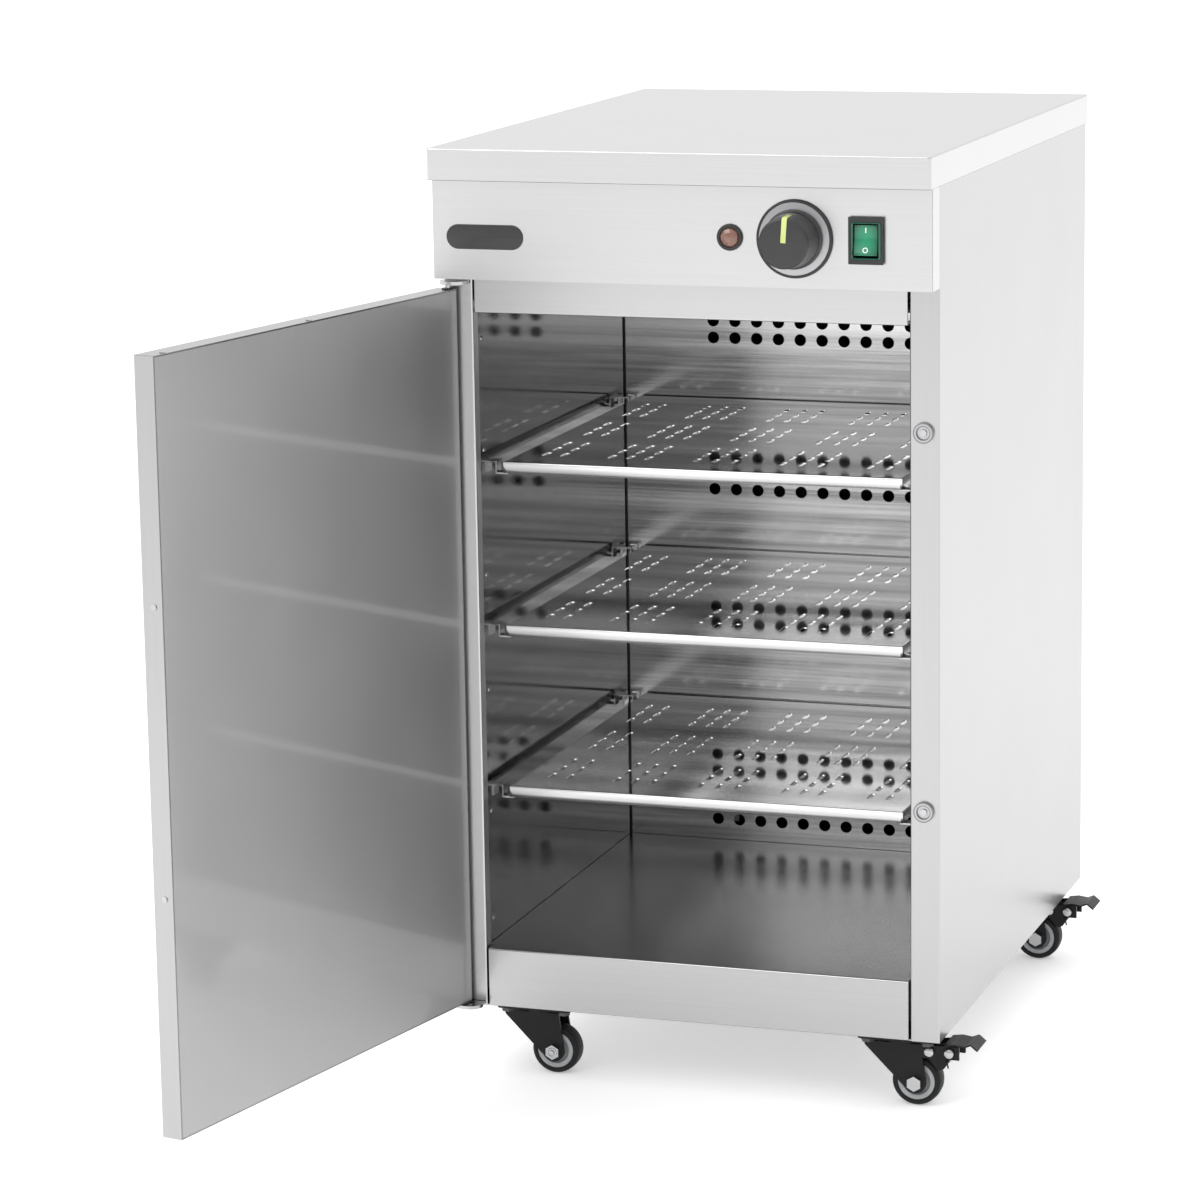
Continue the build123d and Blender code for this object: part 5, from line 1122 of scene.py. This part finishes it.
class WARMER_OT_castors(bpy.types.Operator):
    """Makes the castors' tyres, rims, brake rivets and springs, and softens forks and pedals"""

    bl_idname = "warmer.castors"
    bl_label = "Castors"

    def execute(self, context):
        crown = context.scene.warmer_castors.crown
        bore, crest = 17.0 * MM, 0.6 * MM
        ring, lip, web, hub, boss, axle = (
            16.9 * MM, 8.4 * MM, 3.0 * MM, 7.5 * MM, 10.0 * MM, 4.08 * MM
        )
        # One side of the rim's section, from the axle out to the ring, and its corners' radii.
        side = np.array([
            (boss, axle), (boss, hub), (web, hub + 1.2 * MM), (web, 12.0 * MM),
            (lip, 12.7 * MM), (lip, ring),
        ])
        radii = np.array([0.2, 0.5, 1.2, 1.2, 0.5, 0.3]) * MM
        rim = np.concatenate([side, side[::-1] * (-1, 1)])
        rim = rounded(rim, np.concatenate([radii, radii[::-1]]), 4)
        for corner in CORNERS:
            low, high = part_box("castor_tyre_" + corner)
            middle = (low + high) / 2
            half, outer = (high.y - low.y) / 2, (high.z - low.z) / 2
            tyre = rounded(
                [(-half, bore), (half, bore), (half, outer - crest), (0, outer),
                 (-half, outer - crest)],
                (0.4 * MM, 0.4 * MM, crown, 20 * MM, crown), 6,
            )
            add_piece(
                "tyre_" + corner, placed(turned(tyre, 72, closed=True), middle),
                "wheel_" + corner, "tyre", ("castor_tyre_" + corner,),
            )
            add_piece(
                "rim_" + corner, placed(turned(rim, closed=True), middle), "wheel_" + corner,
                "rim", ("castor_rim_" + corner,),
            )
            soften(
                "castor_fork_" + corner, "swivel_" + corner, "black_coat",
                0.5 * MM,
            )
        # The front left castor shows the axle's nut end: a collar round the end of the stud.
        low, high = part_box("castor_axle_front_left")
        nut = np.array([(-0.2, 0), (-0.2, 4.6), (0.6, 4.5), (1.1, 4.0), (1.1, 3.2), (0.5, 3.0),
                        (0.5, 2.6), (1.5, 2.4), (1.7, 1.9), (1.7, 0)]) * MM
        place = ((low.x + high.x) / 2, low.y, (low.z + high.z) / 2)
        add_piece(
            "axle_nut_front_left", placed(turned(nut, 32), place), "swivel_front_left",
            "plated",
        )
        # The brake's rivets stand on both cheeks of the fork, and its spring hangs in front.
        head = turned(rivet_head(4.6 * MM, 1.9 * MM, 0.3 * MM, 8), 28)
        reaches, cheek, level = (13.0 * MM, 31.0 * MM), 14.5 * MM, 52.0 * MM
        spring = np.array([(26.0, 0, 47.0), (27.5, 0, 44.0), (29.5, 0, 41.0), (30.0, 0, 38.0)]) * MM
        for corner in BRAKED:
            soften(
                "brake_pedal_" + corner, "brake_" + corner, "black_coat", 0.3 * MM
            )
            middle = centre_of("castor_tyre_" + corner)
            path = spring + (middle.x, middle.y - 12.0 * MM, 0)
            add_piece(
                "brake_spring_" + corner, wire(path, 0.7 * MM, 10), "swivel_" + corner,
                "black_coat",
            )
            patches = []
            for reach in reaches:
                for way in (-1, 1):
                    place = (middle.x + reach, middle.y + way * cheek, level)
                    patches += placed(head, place, (0, way, 0))
            add_piece(
                "brake_rivets_" + corner, patches, "swivel_" + corner, "plated"
            )
        return {"FINISHED"}


class WARMER_OT_rivets(bpy.types.Operator):
    """Makes the domed rivets of the chamber's side walls"""

    bl_idname = "warmer.rivets"
    bl_label = "Rivets"

    def execute(self, context):
        levels = np.array([141.1, 241.3, 353.7, 459.0, 572.3, 672.0]) * MM
        row_y = -243.0 * MM
        head = turned(rivet_head(2.6 * MM, 1.3 * MM, 0.2 * MM), 20)
        patches = []
        for wall, way in (("inner_wall_left", 1), ("inner_wall_right", -1)):
            low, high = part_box(wall)
            face_x = high.x if way > 0 else low.x
            for level in levels:
                patches += placed(head, (face_x, row_y, level), (way, 0, 0))
        add_piece("liner_rivets", patches, "cabinet", "plated")
        return {"FINISHED"}


class WARMER_OT_stage(bpy.types.Operator):
    """Makes the pale floor, the surround, the large soft light and the camera"""

    bl_idname = "warmer.stage"
    bl_label = "Stage"

    def execute(self, context):
        studio = context.scene.warmer_studio
        reach = 40.0
        corners = np.array([(-1, -1, 0), (1, -1, 0), (1, 1, 0), (-1, 1, 0)]) * reach
        mesh = mesh_from("floor", [(corners, np.arange(4)[None, :])], solid=False)
        floor = put("floor", mesh)
        finish = Finish(
            "floor_paint", studio.floor,
            {"Roughness": 0.9, "Emission Color": (1, 1, 1, 1), "Emission Strength": studio.glow},
        )
        finish.paint_shades(finish.noise(0.4), studio.floor, 0.995, 1.005)
        mesh.materials.append(finish.material)

        world = bpy.data.worlds.new("studio")
        world.use_nodes = True
        # The surround's strength is sky * (1 + fade * y + lift * z) for a look along (x, y, z).
        tree = world.node_tree
        background = tree.nodes["Background"]
        background.inputs["Color"].default_value = (1, 1, 1, 1)
        look = tree.nodes.new("ShaderNodeTexCoord").outputs["Generated"]
        weigh = tree.nodes.new("ShaderNodeVectorMath")
        weigh.operation = "DOT_PRODUCT"
        weigh.inputs[1].default_value = (0, studio.sky * studio.fade, studio.sky * studio.lift)
        total = tree.nodes.new("ShaderNodeMath")
        total.inputs[1].default_value = studio.sky
        tree.links.new(look, weigh.inputs[0])
        tree.links.new(weigh.outputs["Value"], total.inputs[0])
        tree.links.new(total.outputs[0], background.inputs["Strength"])
        context.scene.world = world

        light = bpy.data.lights.new("key", "AREA")
        light.shape = "RECTANGLE"
        light.size, light.size_y = 2.4, 1.6
        light.energy = studio.key
        key = put("key", light)
        key.location = (-1.6, -2.4, 2.8)
        body_middle = Vector((0, 0, 0.5))
        key.rotation_mode = "QUATERNION"
        key.rotation_quaternion = (body_middle - key.location).to_track_quat("-Z", "Y")

        # The camera looks along y, turned about the upright, then tilted, then rolled.
        turn, tilt, roll = studio.turn, studio.tilt, studio.roll
        ahead = Vector((-sin(turn) * cos(tilt), cos(turn) * cos(tilt), sin(tilt)))
        right = ahead.cross(Vector(UP)).normalized()
        over = right.cross(ahead)
        side = cos(roll) * right + sin(roll) * over
        top = cos(roll) * over - sin(roll) * right
        lens = bpy.data.cameras.new("camera")
        lens.lens, lens.sensor_width = studio.lens, 36.0
        camera = put("camera", lens)
        facing = Matrix((side, top, -ahead)).transposed()
        camera.matrix_world = Matrix.Translation(Vector(studio.eye)) @ facing.to_4x4()
        context.scene.camera = camera
        context.scene.view_settings.view_transform = "Standard"
        return {"FINISHED"}


class WARMER_PT_panel(bpy.types.Panel):
    """Buttons for the pieces, in the order in which they are made"""

    bl_idname = "WARMER_PT_panel"
    bl_label = "Plate Warmer"
    bl_space_type = "VIEW_3D"
    bl_region_type = "UI"
    bl_category = "Plate Warmer"

    def draw(self, context):
        for name, group in SETTINGS.items():
            box = self.layout.box()
            for field in group.__annotations__:
                box.prop(getattr(context.scene, name), field)
        for operator in OPERATORS:
            self.layout.operator(operator.bl_idname)


SETTINGS = {
    "warmer_steel": SteelSettings,
    "warmer_sheet": SheetSettings,
    "warmer_controls": ControlSettings,
    "warmer_castors": CastorSettings,
    "warmer_studio": StudioSettings,
}
OPERATORS = (
    WARMER_OT_finishes,
    WARMER_OT_casing,
    WARMER_OT_shelves,
    WARMER_OT_back_wall,
    WARMER_OT_knob,
    WARMER_OT_lamp,
    WARMER_OT_switch,
    WARMER_OT_badge,
    WARMER_OT_castors,
    WARMER_OT_rivets,
    WARMER_OT_stage,
)


def register():
    """Adds the settings to the scene, and the operators and the panel to Blender."""
    for name, group in SETTINGS.items():
        bpy.utils.register_class(group)
        setattr(bpy.types.Scene, name, PointerProperty(type=group))
    for each in (*OPERATORS, WARMER_PT_panel):
        bpy.utils.register_class(each)


def unregister():
    """Takes away what register adds, in the opposite order."""
    for each in reversed((*OPERATORS, WARMER_PT_panel)):
        bpy.utils.unregister_class(each)
    for name, group in reversed(SETTINGS.items()):
        delattr(bpy.types.Scene, name)
        bpy.utils.unregister_class(group)


def main():
    """Builds everything in order."""
    register()
    for operator in OPERATORS:
        group, name = operator.bl_idname.split(".")
        getattr(getattr(bpy.ops, group), name)()


if __name__ == "__main__":
    main()
